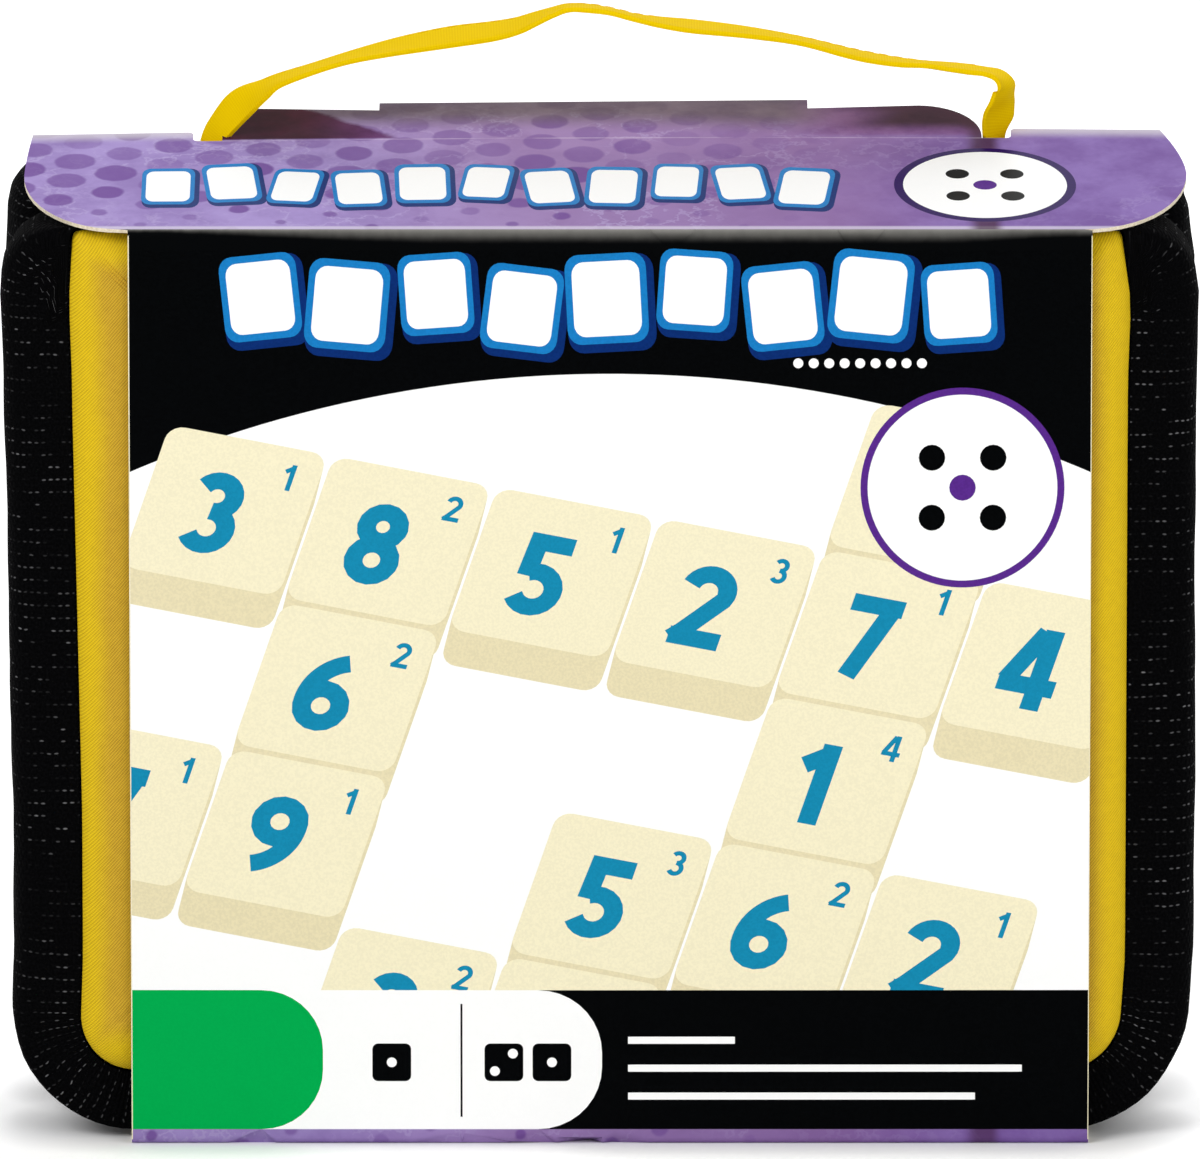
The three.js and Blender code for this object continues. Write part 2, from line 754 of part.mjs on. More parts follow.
// The pouch stands on the zip tape inside the rear half. It is an open bag of thin cloth: out and
// up the outer face, over the frill, and down the inner face.
const leafletBack = bindingDepth - bindingThickness - fitGap;
const leafletFront = leafletBack - leafletThickness;
const pouchFloor = caseFloor + tapeInner + fitGap;
const pouchHalfDepth = (tilesInStack * tileThickness) / 2 + pouchDepthSlack + pouchWall;
const pouchMiddle = leafletFront - leafletGap - pouchHalfDepth;
const tilePitch = tileSize + tileGap;
const blockWidth = tileColumns * tilePitch - tileGap;
const blockHeight = tileRows * tilePitch - tileGap;
const pouchHalfWidth = blockWidth / 2 + pouchSlack + pouchWall;
const blockFloor = pouchFloor + pouchWall + pouchSlack;
const pouchFull = blockFloor + blockHeight + pouchSlack;

function pouchRing(halfWide, halfDeep, z, radius) {
  const points = [];
  const corner = Math.min(radius, halfDeep);
  for (const [sx, sy, from] of [
    [1, 1, 0],
    [-1, 1, 90],
    [-1, -1, 180],
    [1, -1, 270],
  ]) {
    for (let k = 0; k <= cornerSteps; k++) {
      const angle = THREE.MathUtils.degToRad(from + (90 * k) / cornerSteps);
      const x = sx * (halfWide - corner) + corner * Math.cos(angle);
      const y = sy * (halfDeep - corner) + corner * Math.sin(angle);
      points.push([x, pouchMiddle + y, z]);
    }
  }
  return points;
}

const neckHeight = pouchFull + pouchNeckHeight;

function pouchBag() {
  const shoulder = (pouchHalfWidth + pouchNeckWidth) / 2;
  const face = (wall) => {
    const corner = pouchCorner - wall * 2;
    const level = (halfWide, halfDeep, z) => pouchRing(halfWide - wall, halfDeep - wall, z, corner);
    return [
      level(pouchHalfWidth, pouchHalfDepth, pouchFloor + wall),
      level(pouchHalfWidth, pouchHalfDepth, pouchFull),
      level(shoulder, pouchHalfDepth, pouchFull + pouchShoulderHeight),
      level(pouchNeckWidth / 2, pouchNeckDepth / 2, neckHeight - pouchNeckBand / 2),
      level(pouchNeckWidth / 2, pouchNeckDepth / 2, neckHeight + pouchNeckBand / 2),
      level(pouchFrillWidth / 2, pouchFrillDepth / 2, neckHeight + pouchFrillHeight),
    ];
  };
  return skin([...face(0), ...face(pouchWall).reverse()], false, true);
}

// The drawstring is pulled tight round the neck and tied in front.
function drawstring() {
  const out = drawstringRadius + fitGap;
  const rows = [];
  for (let n = 0; n < drawstringSides; n++) {
    const angle = (2 * Math.PI * n) / drawstringSides;
    const reach = out + drawstringRadius * Math.cos(angle);
    const halfDeep = pouchNeckDepth / 2 + reach;
    const z = neckHeight + drawstringRadius * Math.sin(angle);
    rows.push(pouchRing(pouchNeckWidth / 2 + reach, halfDeep, z, halfDeep));
  }
  const knot = new THREE.SphereGeometry(knotRadius, drawstringSides * 2, drawstringSides);
  knot.translate(0, pouchMiddle - pouchNeckDepth / 2 - out - knotRadius / 2, neckHeight);
  return fused([skin(rows, true, true), knot]);
}

addPiece("pouch", pouchBag(), pouchCloth);
addPiece("pouch_drawstring", drawstring(), stringCord);

// Eighty tiles lie in the pouch in stacks, four tiles front to back. The tiles of a stack touch,
// so a stack is one solid with a groove round every joint.
function tileStack() {
  const outline = (half) => {
    const flat = half - tileCorner;
    return [
      [flat, half],
      [half, flat],
      [half, -flat],
      [flat, -half],
      [-flat, -half],
      [-half, -flat],
      [-half, flat],
      [-flat, half],
    ];
  };
  const rows = [];
  for (let n = 0; n < tilesInStack; n++) {
    const front = n * tileThickness;
    const chamfered = tileSize / 2 - tileChamfer;
    rows.push([chamfered, front]);
    rows.push([tileSize / 2, front + tileChamfer]);
    rows.push([tileSize / 2, front + tileThickness - tileChamfer]);
  }
  rows.push([tileSize / 2 - tileChamfer, tilesInStack * tileThickness]);
  return skin(
    rows.map(([half, y]) => outline(half).map(([x, z]) => [x, y, z])),
    false,
    true,
  );
}

const stackFront = pouchMiddle - (tilesInStack * tileThickness) / 2;
let stackNumber = 0;
for (let row = 0; row < tileRows; row++) {
  for (let column = 0; column < tileColumns; column++) {
    stackNumber += 1;
    const stack = addPiece(`tile_stack_${String(stackNumber).padStart(2, "0")}`, tileStack(), tilePlastic);
    const x = (column - (tileColumns - 1) / 2) * tilePitch;
    const z = blockFloor + tileSize / 2 + (tileRows - 1 - row) * tilePitch;
    stack.position.set(x, stackFront, z);
  }
}

// The leaflet stands behind the pouch, against the seam binding of the back panel.
const leafletFloor = caseFloor + seamInset / 2;
addPiece(
  "instruction_leaflet",
  box(
    -leafletWidth / 2,
    leafletWidth / 2,
    leafletFront,
    leafletBack,
    leafletFloor,
    leafletFloor + leafletHeight,
  ),
  paper,
);

export default caseGroup;
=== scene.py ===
"""The looks of a zip-round travel case for a letter tile game, standing in its printed card sleeve.

Each section makes one piece of the real object, from the sleeve inwards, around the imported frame.
X runs to the viewer's right, Y from the printed front to the back, Z up. Sizes and outlines are in
millimetres and made metres as a mesh is made. The camera, the lamps and the shaders use metres.
"""

import math

import bmesh
import bpy
import numpy as np
from mathutils.geometry import delaunay_2d_cdt
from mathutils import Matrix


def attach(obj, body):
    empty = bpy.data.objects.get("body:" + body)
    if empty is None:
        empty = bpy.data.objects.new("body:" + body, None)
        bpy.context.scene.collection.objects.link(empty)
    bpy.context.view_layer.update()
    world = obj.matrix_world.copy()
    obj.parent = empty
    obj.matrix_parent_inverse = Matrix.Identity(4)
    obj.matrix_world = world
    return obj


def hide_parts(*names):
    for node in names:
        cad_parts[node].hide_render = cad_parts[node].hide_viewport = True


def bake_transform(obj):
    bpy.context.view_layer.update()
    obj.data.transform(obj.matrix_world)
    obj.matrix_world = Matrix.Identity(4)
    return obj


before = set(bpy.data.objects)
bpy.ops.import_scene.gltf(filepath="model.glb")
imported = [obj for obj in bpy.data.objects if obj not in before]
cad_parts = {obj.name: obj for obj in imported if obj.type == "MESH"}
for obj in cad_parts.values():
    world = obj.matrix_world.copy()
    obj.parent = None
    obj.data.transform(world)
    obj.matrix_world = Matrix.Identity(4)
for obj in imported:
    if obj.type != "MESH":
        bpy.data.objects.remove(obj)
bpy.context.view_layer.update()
MM = 0.001


# Camera. A long lens that looks down by twelve degrees, so that the printed front shows no
# perspective and the sloping roof just shows. The view is as wide as the case with a hair to spare.
VIEW_RISE = math.radians(12)
VIEW_DISTANCE = 3.2
VIEW_WIDTH = 0.1804
SENSOR_WIDTH = 36.0
AIM_HEIGHT = 0.0811

camera_data = bpy.data.cameras.new("camera")
camera_data.sensor_fit = "HORIZONTAL"
camera_data.sensor_width = SENSOR_WIDTH
camera_data.lens = SENSOR_WIDTH * VIEW_DISTANCE / VIEW_WIDTH
camera_data.clip_end = 50
camera = bpy.data.objects.new("camera", camera_data)
bpy.context.collection.objects.link(camera)
camera.location = (
    0,
    -VIEW_DISTANCE * math.cos(VIEW_RISE),
    AIM_HEIGHT + VIEW_DISTANCE * math.sin(VIEW_RISE),
)
camera.rotation_euler = (math.pi / 2 - VIEW_RISE, 0, 0)
bpy.context.scene.camera = camera


# Light. A soft key lamp from the upper left, a weaker one from the right and one behind the case,
# and a world that is white only to the camera, to reflections and through clear things.
class Shade:
    """One socket in a node tree. A sum on shades adds a Math node."""

    def __init__(self, tree, socket=None):
        self.tree = tree
        self.socket = socket

    def node(self, kind, settings=None, inputs=None, output=0):
        """Adds a node, sets its settings and its sockets' values or links, gives one output."""
        made = self.tree.nodes.new("ShaderNode" + kind)
        for name, value in (settings or {}).items():
            setattr(made, name, value)
        for key, value in (inputs or {}).items():
            if isinstance(value, Shade):
                self.tree.links.new(value.socket, made.inputs[key])
            else:
                made.inputs[key].default_value = value
        return Shade(self.tree, made.outputs[output])

    def math(self, operation, *others):
        return self.node("Math", {"operation": operation}, dict(enumerate((self, *others))))

    def __add__(self, other):
        return self.math("ADD", other)

    def __sub__(self, other):
        return self.math("SUBTRACT", other)

    def __rsub__(self, other):
        return self.node("Math", {"operation": "SUBTRACT"}, {0: other, 1: self})

    def __mul__(self, other):
        return self.math("MULTIPLY", other)

    def __truediv__(self, other):
        return self.math("DIVIDE", other)

    def __lt__(self, other):
        return self.math("LESS_THAN", other)

    __radd__ = __add__
    __rmul__ = __mul__

    def wave(self, length):
        """A sine from -1 to 1 that repeats every `length` metres."""
        return (self * (2 * math.pi / length)).math("SINE")

    def floor(self):
        return self.math("FLOOR")

    def fraction(self):
        return self.math("FRACT")

    def size(self):
        return self.math("ABSOLUTE")

    def root(self):
        return self.math("SQRT")

    def least(self, other):
        return self.math("MINIMUM", other)

    def most(self, other):
        return self.math("MAXIMUM", other)

    def power(self, exponent):
        return self.math("POWER", exponent)

    def step(self, low, high):
        """0 below low and 1 above high, with a smooth rise between."""
        settings = {"interpolation_type": "SMOOTHSTEP", "clamp": True}
        return self.node("MapRange", settings, {0: self, 1: low, 2: high, 3: 0.0, 4: 1.0})

    def axes(self):
        """The X, Y and Z parts of a vector."""
        parts = self.node("SeparateXYZ", {}, {0: self}).socket.node.outputs
        return [Shade(self.tree, part) for part in parts]

    def noise(self, scale, detail=2.0, roughness=0.5):
        """Soft noise from 0 to 1 over this vector. Scale is in cells per metre."""
        inputs = {"Vector": self, "Scale": scale, "Detail": detail, "Roughness": roughness}
        return self.node("TexNoise", {"noise_dimensions": "3D"}, inputs)

    def chance(self, row):
        """A number from 0 to 1 at random for each column, this shade, and row of a pattern."""
        cell = self.node("CombineXYZ", {}, {0: self, 1: row})
        return self.node("TexWhiteNoise", {"noise_dimensions": "2D"}, {"Vector": cell})

    def mix(self, low, high):
        """This shade blends one colour into another. Each is three numbers or a shade."""
        values = {0: self}
        for index, colour in ((6, low), (7, high)):
            values[index] = colour if isinstance(colour, Shade) else (*colour, 1)
        return self.node("Mix", {"data_type": "RGBA"}, values, output=2)


CASE_MIDDLE = np.array([0, 0, 0.07])
for name, spot, width, watts in (
    ("key_lamp", (-0.75, -0.85, 0.95), 0.7, 9.0),
    ("fill_lamp", (0.85, -0.95, 0.55), 0.8, 5.5),
    ("rear_lamp", (0.25, 0.9, 0.9), 0.8, 7.0),
):
    lamp_data = bpy.data.lights.new(name, "AREA")
    lamp_data.size = width
    lamp_data.energy = watts
    lamp = bpy.data.objects.new(name, lamp_data)
    bpy.context.collection.objects.link(lamp)
    lamp.location = spot
    away = np.array(spot) - CASE_MIDDLE
    tilt = math.atan2(math.hypot(away[0], away[1]), away[2])
    lamp.rotation_euler = (tilt, 0, math.atan2(away[0], -away[1]))

SKY_STRENGTH = 0.42
world = bpy.data.worlds.new("studio")
bpy.context.scene.world = world
world.use_nodes = True
sky = Shade(world.node_tree)
camera_ray, glossy_ray, clear_ray = (
    sky.node("LightPath", output=f"Is {ray} Ray") for ray in ("Camera", "Glossy", "Transmission")
)
sky_light, sky_white = (
    sky.node("Background", {}, {"Color": (1, 1, 1, 1), "Strength": strength})
    for strength in (SKY_STRENGTH, 1.0)
)
sky_seen = camera_ray.most(glossy_ray).most(clear_ray)
sky_shown = sky.node("MixShader", {}, {0: sky_seen, 1: sky_light, 2: sky_white})
world.node_tree.links.new(sky_shown.socket, world.node_tree.nodes["World Output"].inputs["Surface"])
bpy.context.scene.view_settings.view_transform = "Standard"


# Front sleeve card. One die-cut sheet of varnished folding boxboard, printed outside and grey
# inside: the floor, the front, the sloping roof with its ears and tongue, and a lip behind. It is
# drawn flat, as x across and t along the sheet, and then bent along its three folds.
def finish(name, paint, uv=False, **fixed):
    """A material. paint(place) returns a dict of surface sockets, and Height in metres for a bump."""
    made = bpy.data.materials.new(name)
    made.use_nodes = True
    tree = made.node_tree
    surface_shader = tree.nodes["Principled BSDF"]
    for socket, value in fixed.items():
        surface_shader.inputs[socket.replace("_", " ")].default_value = value
    start = Shade(tree)
    place = start.node("TexCoord", output="UV" if uv else "Object")
    painted = paint(place)
    if "Height" in painted:
        bump = {"Height": painted.pop("Height") * 1000, "Distance": MM, "Strength": 1.0}
        painted["Normal"] = start.node("Bump", {}, bump)
    for socket, value in painted.items():
        tree.links.new(value.socket, surface_shader.inputs[socket])
    return made


def srgb(red, green, blue):
    """A colour in 0 to 255 as the linear numbers that the shaders use."""
    shares = np.array([red, green, blue]) / 255
    return tuple(np.where(shares > 0.04045, ((shares + 0.055) / 1.055) ** 2.4, shares / 12.92))


def unit(vectors):
    """Vectors in rows, each brought to a length of one."""
    return vectors / np.linalg.norm(vectors, axis=-1, keepdims=True)


def square_to(flat):
    """Flat vectors in rows, each turned a quarter to the left."""
    return np.stack([-flat[:, 1], flat[:, 0]], 1)


def lengths_along(line):
    """How far along a line each of its points lies."""
    return np.concatenate([[0], np.cumsum(np.linalg.norm(np.diff(line, axis=0), axis=1))])


def points_at(places, along, line):
    """The points that lie at these lengths along a line."""
    return np.stack([np.interp(places, along, column) for column in line.T], 1)


def bent_path(corners, radii, arc_steps=8):
    """A line through the corners with round bends. Gives the points, lengths and left normals."""
    corners = np.array(corners, float)
    points = [corners[0]]
    for before, corner, after, radius in zip(corners, corners[1:], corners[2:], radii):
        came, goes = unit(corner - before), unit(after - corner)
        turn = math.atan2(came[0] * goes[1] - came[1] * goes[0], came @ goes)
        start = corner - came * radius * math.tan(abs(turn) / 2)
        side = np.array([-came[1], came[0]]) * math.copysign(1, turn)
        middle = start + side * radius
        angles = np.linspace(0, turn, arc_steps + 1)
        spoke = start - middle
        points.extend(
            middle + np.array([spoke[0] * c - spoke[1] * s, spoke[0] * s + spoke[1] * c])
            for c, s in zip(np.cos(angles), np.sin(angles))
        )
    points = np.array([*points, corners[-1]])
    along = lengths_along(points)
    return points, along, square_to(unit(np.gradient(points, along, axis=0)))


def arc_points(middle, radius, start, end, count=10):
    """Points on an arc round `middle`, from one angle to another in degrees."""
    angles = np.radians(np.linspace(start, end, count))
    return np.stack([middle[0] + radius * np.cos(angles), middle[1] + radius * np.sin(angles)], 1)


def rounded_block(middle, across, up, radius_share, count=6):
    """A block with round corners. `across` and `up` are its half sides as vectors."""
    inner = 1 - radius_share
    corners = [
        arc_points((sx * inner, sy * inner), radius_share, start, start + 90, count)
        for sx, sy, start in ((1, 1, 0), (-1, 1, 90), (-1, -1, 180), (1, -1, 270))
    ]
    square = np.concatenate(corners)
    return np.array(middle) + square[:, :1] * np.array(across) + square[:, 1:] * np.array(up)


def level_block(x, z, half_width, half_height, radius_share, count=6):
    """A block with round corners that stands level."""
    return rounded_block((x, z), (half_width, 0), (0, half_height), radius_share, count)


def hull(points):
    """The convex outline round a set of points."""
    ordered = sorted(map(tuple, points))
    sides = []
    for run in (ordered, ordered[::-1]):
        side = []
        for p in run:
            while len(side) > 1:
                (ax, ay), (bx, by) = side[-2:]
                if (bx - ax) * (p[1] - ay) - (by - ay) * (p[0] - ax) > 0:
                    break
                side.pop()
            side.append(p)
        sides += side[:-1]
    return np.array(sides)


def inside(points, loops):
    """Which points lie inside a shape given as loops, holes included."""
    result = np.zeros(len(points), bool)
    x, y = points[:, :1], points[:, 1:]
    for loop in loops:
        ends = np.roll(loop, -1, axis=0)
        x0, y0, x1, y1 = loop[:, 0], loop[:, 1], ends[:, 0], ends[:, 1]
        level = np.where(y1 == y0, 1e-12, y1 - y0)
        crosses = ((y0 > y) != (y1 > y)) & (x < (x1 - x0) * (y - y0) / level + x0)
        result ^= crosses.sum(1) % 2 == 1
    return result


def stroke(points, weight):
    """The outline of a line drawn with a flat-ended pen."""
    points = np.array(points, float)
    side = square_to(unit(np.gradient(points, axis=0))) * weight / 2
    return np.concatenate([points + side, (points - side)[::-1]])


def figure_shapes(digit, height, weight):
    """A plain figure as overlapping shapes, each a list of loops. Weight is a share of its height."""

    def arc(x, y, radius, start, end):
        return arc_points((x, y), radius, start, end, 16)

    def ring(x, y, radius):
        return [arc(x, y, radius + weight / 2, 0, 345), arc(x, y, radius - weight / 2, 0, 345)]

    if digit in (6, 9):
        strokes = [ring(0.31, 0.31, 0.21), [stroke(arc(0.64, 0.36, 0.54, 186, 108), weight)]]
    elif digit == 8:
        strokes = [ring(0.31, 0.72, 0.18), ring(0.31, 0.3, 0.2)]
    else:
        two_neck = ((0.16, 0.17), (0.06, 0.06))
        five_bowl = arc(0.28, 0.32, 0.22, 118, -150)
        lines = {
            1: ([(0.36, 0), (0.36, 1)], [(0.4, 0.91), (0.12, 0.7)]),
            2: ([*arc(0.3, 0.69, 0.21, 165, -20), *two_neck], [(0.03, 0.1), (0.6, 0.1)]),
            3: (arc(0.29, 0.71, 0.19, 150, -90), arc(0.29, 0.31, 0.21, 95, -150)),
            4: ([(0.36, 0.97), (0.08, 0.32)], [(0, 0.29), (0.64, 0.29)], [(0.44, 0), (0.44, 1)]),
            5: ([(0.08, 0.9), (0.57, 0.9)], [(0.18, 1), (0.155, 0.47)], five_bowl),
            7: ([(0.02, 0.9), (0.6, 0.9)], [(0.5, 0.94), (0.22, 0)]),
        }[digit]
        strokes = [[stroke(line, weight)] for line in lines]
    middle = np.array([0.31, 0.5])
    turn = -height if digit == 9 else height
    return [[(loop - middle) * turn for loop in loops] for loops in strokes]


def open_sides(triangles):
    """The sides that only one triangle has, as pairs of points."""
    pairs = np.concatenate([triangles[:, [0, 1]], triangles[:, [1, 2]], triangles[:, [2, 0]]])
    keys = {tuple(pair) for pair in pairs}
    return np.array([pair for pair in keys if pair[::-1] not in keys])


def flat_pattern(outline, shapes, inner_points):
    """Cuts a flat sheet into triangles along its outline and every printed shape.

    shapes is a list of (loops, print number), later ones on top. Gives the points, the triangles,
    the print number of each triangle, and the outline's own edges.
    """
    chains = [outline, *(loop for loops, _ in shapes for loop in loops)]
    points, edges = [], []
    for chain in chains:
        first = len(points)
        points.extend(map(tuple, chain))
        edges.extend((first + n, first + (n + 1) % len(chain)) for n in range(len(chain)))
    points.extend(map(tuple, inner_points[inside(inner_points, [outline])]))
    made = delaunay_2d_cdt(points, edges, [], 0, 1e-4)
    flat = np.array([tuple(v) for v in made[0]])
    triangles = np.array([f for f in made[2] if len(f) == 3])
    a, b, c = (flat[triangles[:, n]] for n in range(3))
    twice = (b[:, 0] - a[:, 0]) * (c[:, 1] - a[:, 1]) - (b[:, 1] - a[:, 1]) * (c[:, 0] - a[:, 0])
    middles = (a + b + c) / 3
    kept = inside(middles, [outline]) & (np.abs(twice) > 1e-7)
    triangles, middles, twice = triangles[kept], middles[kept], twice[kept]
    triangles[twice < 0] = triangles[twice < 0][:, ::-1]
    prints = np.zeros(len(triangles), int)
    for loops, number in shapes:
        prints[inside(middles, loops)] = number
    used, triangles = np.unique(triangles, return_inverse=True)
    triangles = triangles.reshape(-1, 3)
    return flat[used], triangles, prints, open_sides(triangles)


def new_piece(name, points, faces, materials, numbers=None, uv=None):
    """A mesh object at the origin, its faces out. uv holds a pair for each corner of each face."""
    mesh = bpy.data.meshes.new(name)
    mesh.from_pydata(np.asarray(points).tolist(), [], [list(map(int, f)) for f in faces])
    for material in materials:
        mesh.materials.append(material)
    if numbers is not None:
        mesh.polygons.foreach_set("material_index", np.asarray(numbers, np.int32))
    if uv is not None:
        mesh.uv_layers.new(name="UVMap").data.foreach_set("uv", np.asarray(uv, np.float32).ravel())
    mesh.polygons.foreach_set("use_smooth", np.ones(len(mesh.polygons), bool))
    mesh.update()
    work = bmesh.new()
    work.from_mesh(mesh)
    if work.calc_volume(signed=True) < 0:
        mesh.flip_normals()
    work.free()
    mesh.set_sharp_from_angle(angle=math.radians(38))
    piece = bpy.data.objects.new(name, mesh)
    bpy.context.collection.objects.link(piece)
    return piece


def folded_card(name, pattern, path, thickness, materials, warp):
    """Bends a flat pattern in millimetres along a path and gives it the board's thickness."""
    flat, triangles, prints, rim = pattern
    line, along, normals = path
    facing = unit(points_at(flat[:, 1], along, normals))
    away = np.column_stack([np.zeros(len(flat)), facing])
    centre = np.column_stack([flat[:, 0], points_at(flat[:, 1], along, line)])
    centre += away * warp(flat)[:, None]
    points = np.concatenate([centre + away * thickness / 2, centre - away * thickness / 2]) * MM
    back = triangles[:, ::-1] + len(flat)
    walls = [(b, a, a + len(flat), b + len(flat)) for a, b in rim]
    faces = [*triangles, *back, *walls]
    kinds = len(materials)
    numbers = [*prints, *[kinds - 2] * len(back), *[kinds - 1] * len(walls)]
    uv = np.concatenate([flat[np.array(f) % len(flat)] for f in faces]) * MM
    return new_piece(name, points, faces, materials, numbers, uv)


def board_grain(place):
    """The faint unevenness of varnished board, as a height in metres."""
    return place.noise(900, 3) * (0.005 * MM) + place.noise(60, 2) * (0.05 * MM)


DULL_INK = 0.012


def print_finish(name, colour, spread=0.05, roughness=0.3, gloss=0.01):
    """Ink on varnished board: an even colour with a trace of press mottle."""

    def paint(place):
        mottle = place.noise(2600, 2).step(0.35, 0.65)
        light = tuple(min(1.0, part * (1 + spread)) for part in colour)
        dark = tuple(part * (1 - spread) for part in colour)
        rough = place.noise(140, 3) * 0.12 + (roughness - 0.06)
        return {"Base Color": mottle.mix(dark, light), "Roughness": rough, "Height": board_grain(place)}

    return finish(name, paint, Specular_IOR_Level=gloss)


def lilac_wash(place, x, t, dots):
    """Clouded lilac with pale veins, and slanting rows of darker dots that swell along `dots`.

    The dots fade out to the right. Gives the colour, the wash's noise and its clouds.
    """
    pitch, row_pitch, slant = 7.9 * MM, 6.85 * MM, math.radians(22)
    wash = place.noise(70, 5, 0.66)
    cloud = wash.step(0.33, 0.67)
    vein = 1 - (place.noise(150, 4, 0.6) - 0.5).size().step(0.004, 0.03)
    across = (t * math.cos(slant) - x * math.sin(slant)) * (1 / row_pitch)
    odd = (across.floor() * 0.5).fraction() * 2
    along = (x * math.cos(slant) + t * math.sin(slant)) * (1 / pitch) + odd * 0.5
    u, v = (along.fraction() - 0.5) * pitch, (across.fraction() - 0.5) * row_pitch
    chance = along.floor().chance(across.floor())
    reach = t.step(*dots) * (1.9 * MM) + chance * (0.6 * MM) + 0.7 * MM
    rough_edge = (place.noise(500, 2) - 0.5) * (0.5 * MM)
    dot = 1 - ((u * u + v * v).root() - reach + rough_edge).step(-0.3 * MM, 0.3 * MM)
    rightward = (x + (wash - 0.5) * 0.04).step(-0.012, 0.046)
    strength = ((chance * 7.31).fraction() * 0.5 + 0.35) * (1 - rightward * 0.92)
    middle = x.step(-0.045, -0.005) * (1 - x.step(0.03, 0.06))
    light = cloud.mix(srgb(146, 124, 182), srgb(168, 148, 204))
    deep = cloud.mix(srgb(120, 90, 156), srgb(142, 116, 180))
    base = (middle * 0.5).mix(rightward.mix(light, deep), srgb(150, 114, 156))
    pale = vein * (1 - rightward * 0.7) * place.noise(40, 2).step(0.4, 0.6)
    base = (pale * 0.5).mix(base, srgb(186, 172, 214))
    return (dot * strength).mix(base, srgb(108, 70, 144)), wash, cloud


def lilac_finish(name, dots, dark, fold, wear=None):
    """Lilac print. Along `dark` its wash turns grey-brown in painted shade, and along the fold it goes
    pale, with wear and a painted highlight.

    Each is a length along the sheet, or a pair of them from none to full. `wear` is a function
    that paints what one card alone has on top, painted shade and shadow among it.
    """

    def paint(place):
        x, t, _ = place.axes()
        dotted, wash, cloud = lilac_wash(place, x, t, dots)
        tongue = 1 - x.size().step(0.0585, 0.0605)
        # Painted shade: the wash turns grey-brown towards the back of the roof and the tongue.
        brown = (t + x.step(0.0, 0.03) * (1.5 * MM)).step(*dark) * tongue * 0.85
        shaded = brown.mix(dotted, cloud.mix(srgb(90, 78, 80), srgb(114, 102, 102)))
        # Pale along the fold: wear and a painted highlight.
        fold_wear_and_highlight = 1 - (t - fold).size().step(0.2 * MM, 1.0 * MM)
        colour = (fold_wear_and_highlight * 0.65).mix(shaded, srgb(218, 210, 228))
        if wear:
            colour = wear(colour, x, t, tongue, wash, cloud)
        return {"Base Color": colour, "Roughness": wash * 0.12 + 0.5, "Height": board_grain(place)}

    return finish(name, paint, uv=True, Specular_IOR_Level=DULL_INK)


def lit_worn_fold_finish(name, high, reach):
    """Black ink greyed up to the bend at `high`, over less than half `reach` at the left: painted
    highlight and wear.
    """

    def paint(place):
        x, t, _ = place.axes()
        scuff = place.noise(500, 3)
        span = (x.step(-0.07, -0.02) * 0.7 + 0.3) * (1 - x.step(0.05, 0.07) * 0.45) * reach
        below = (high - t + (scuff - 0.5) * (0.3 * MM)) / span
        grey = (1 - below.least(1).most(0)).power(2.4)
        colour = grey.mix(srgb(4, 5, 6), srgb(150, 148, 143))
        return {"Base Color": colour, "Roughness": scuff * 0.1 + 0.4, "Height": board_grain(place)}

    return finish(name, paint, uv=True, Specular_IOR_Level=DULL_INK)


def board_back(place):
    """Unprinted grey board, with fibres."""
    fibre = place.noise(700, 4, 0.7)
    colour = fibre.step(0.3, 0.7).mix(srgb(186, 180, 170), srgb(206, 201, 192))
    return {"Base Color": colour, "Roughness": fibre * 0.1 + 0.78, "Height": fibre * (0.03 * MM)}


def board_edge(place):
    """The cut edge: cream, with fibres in two tones."""
    fibre = place.noise(2400, 3, 0.7)
    colour = fibre.step(0.3, 0.75).mix(srgb(214, 200, 172), srgb(240, 230, 208))
    return {"Base Color": colour, "Roughness": fibre * 0.1 + 0.8, "Height": fibre * (0.05 * MM)}


# Sizes of the card in millimetres, as the case's maker would give them
BOARD = 0.6
CARD_HALF_DEPTH = 25.5
CARD_FRONT_TOP = 139.5
CARD_HALF_WIDTH = 71.7
CARD_SHIFT = 1.5
CARD_LEFT, CARD_RIGHT = CARD_SHIFT - CARD_HALF_WIDTH, CARD_SHIFT + CARD_HALF_WIDTH
ROOF_SHIFT = 0.3
BOTTOM_FOLD = 0.8
ROOF_FOLD = 0.8
FLOOR_END = 24.6
LEFT_EAR, RIGHT_EAR = 86.4, 87.4
LEFT_TAPER, RIGHT_TAPER = 0.9, 3.6
EAR_CORNER = 22
EAR_END = 12.7
NOTCH_FRONT = 9.2
NOTCH_INNER = 57.0
NOTCH_OUTER = 61.4
NOTCH_LIP_RADIUS, NOTCH_ROOT_RADIUS = 0.8, 0.9
TONGUE_END, TAB_FOOT = 21.6, 20.4
LEFT_TONGUE_CORNER, RIGHT_TONGUE_CORNER = (5.5, 9), (9.4, 11.6)
ROOF_SLOPE = 10.3 / (2 * CARD_HALF_DEPTH)
TAB_LEFT, TAB_RIGHT = -33.25, 31.25
LIP_DEPTH = FLOOR_END - BOARD / 2
LIP_LENGTH = 4
LIP_FOLD = 0.5
LIP_ROUND = 1

mid_front = -CARD_HALF_DEPTH + BOARD / 2
roof_low = CARD_FRONT_TOP - BOARD / 2
lip_head = roof_low + ROOF_SLOPE * (LIP_DEPTH + CARD_HALF_DEPTH)
front_path = bent_path(
    [
        (FLOOR_END, BOARD / 2),
        (mid_front, BOARD / 2),
        (mid_front, roof_low),
        (LIP_DEPTH, lip_head),
        (LIP_DEPTH, lip_head - LIP_LENGTH),
    ],
    [BOTTOM_FOLD, ROOF_FOLD, LIP_FOLD],
)
path_line, path_along, _ = front_path
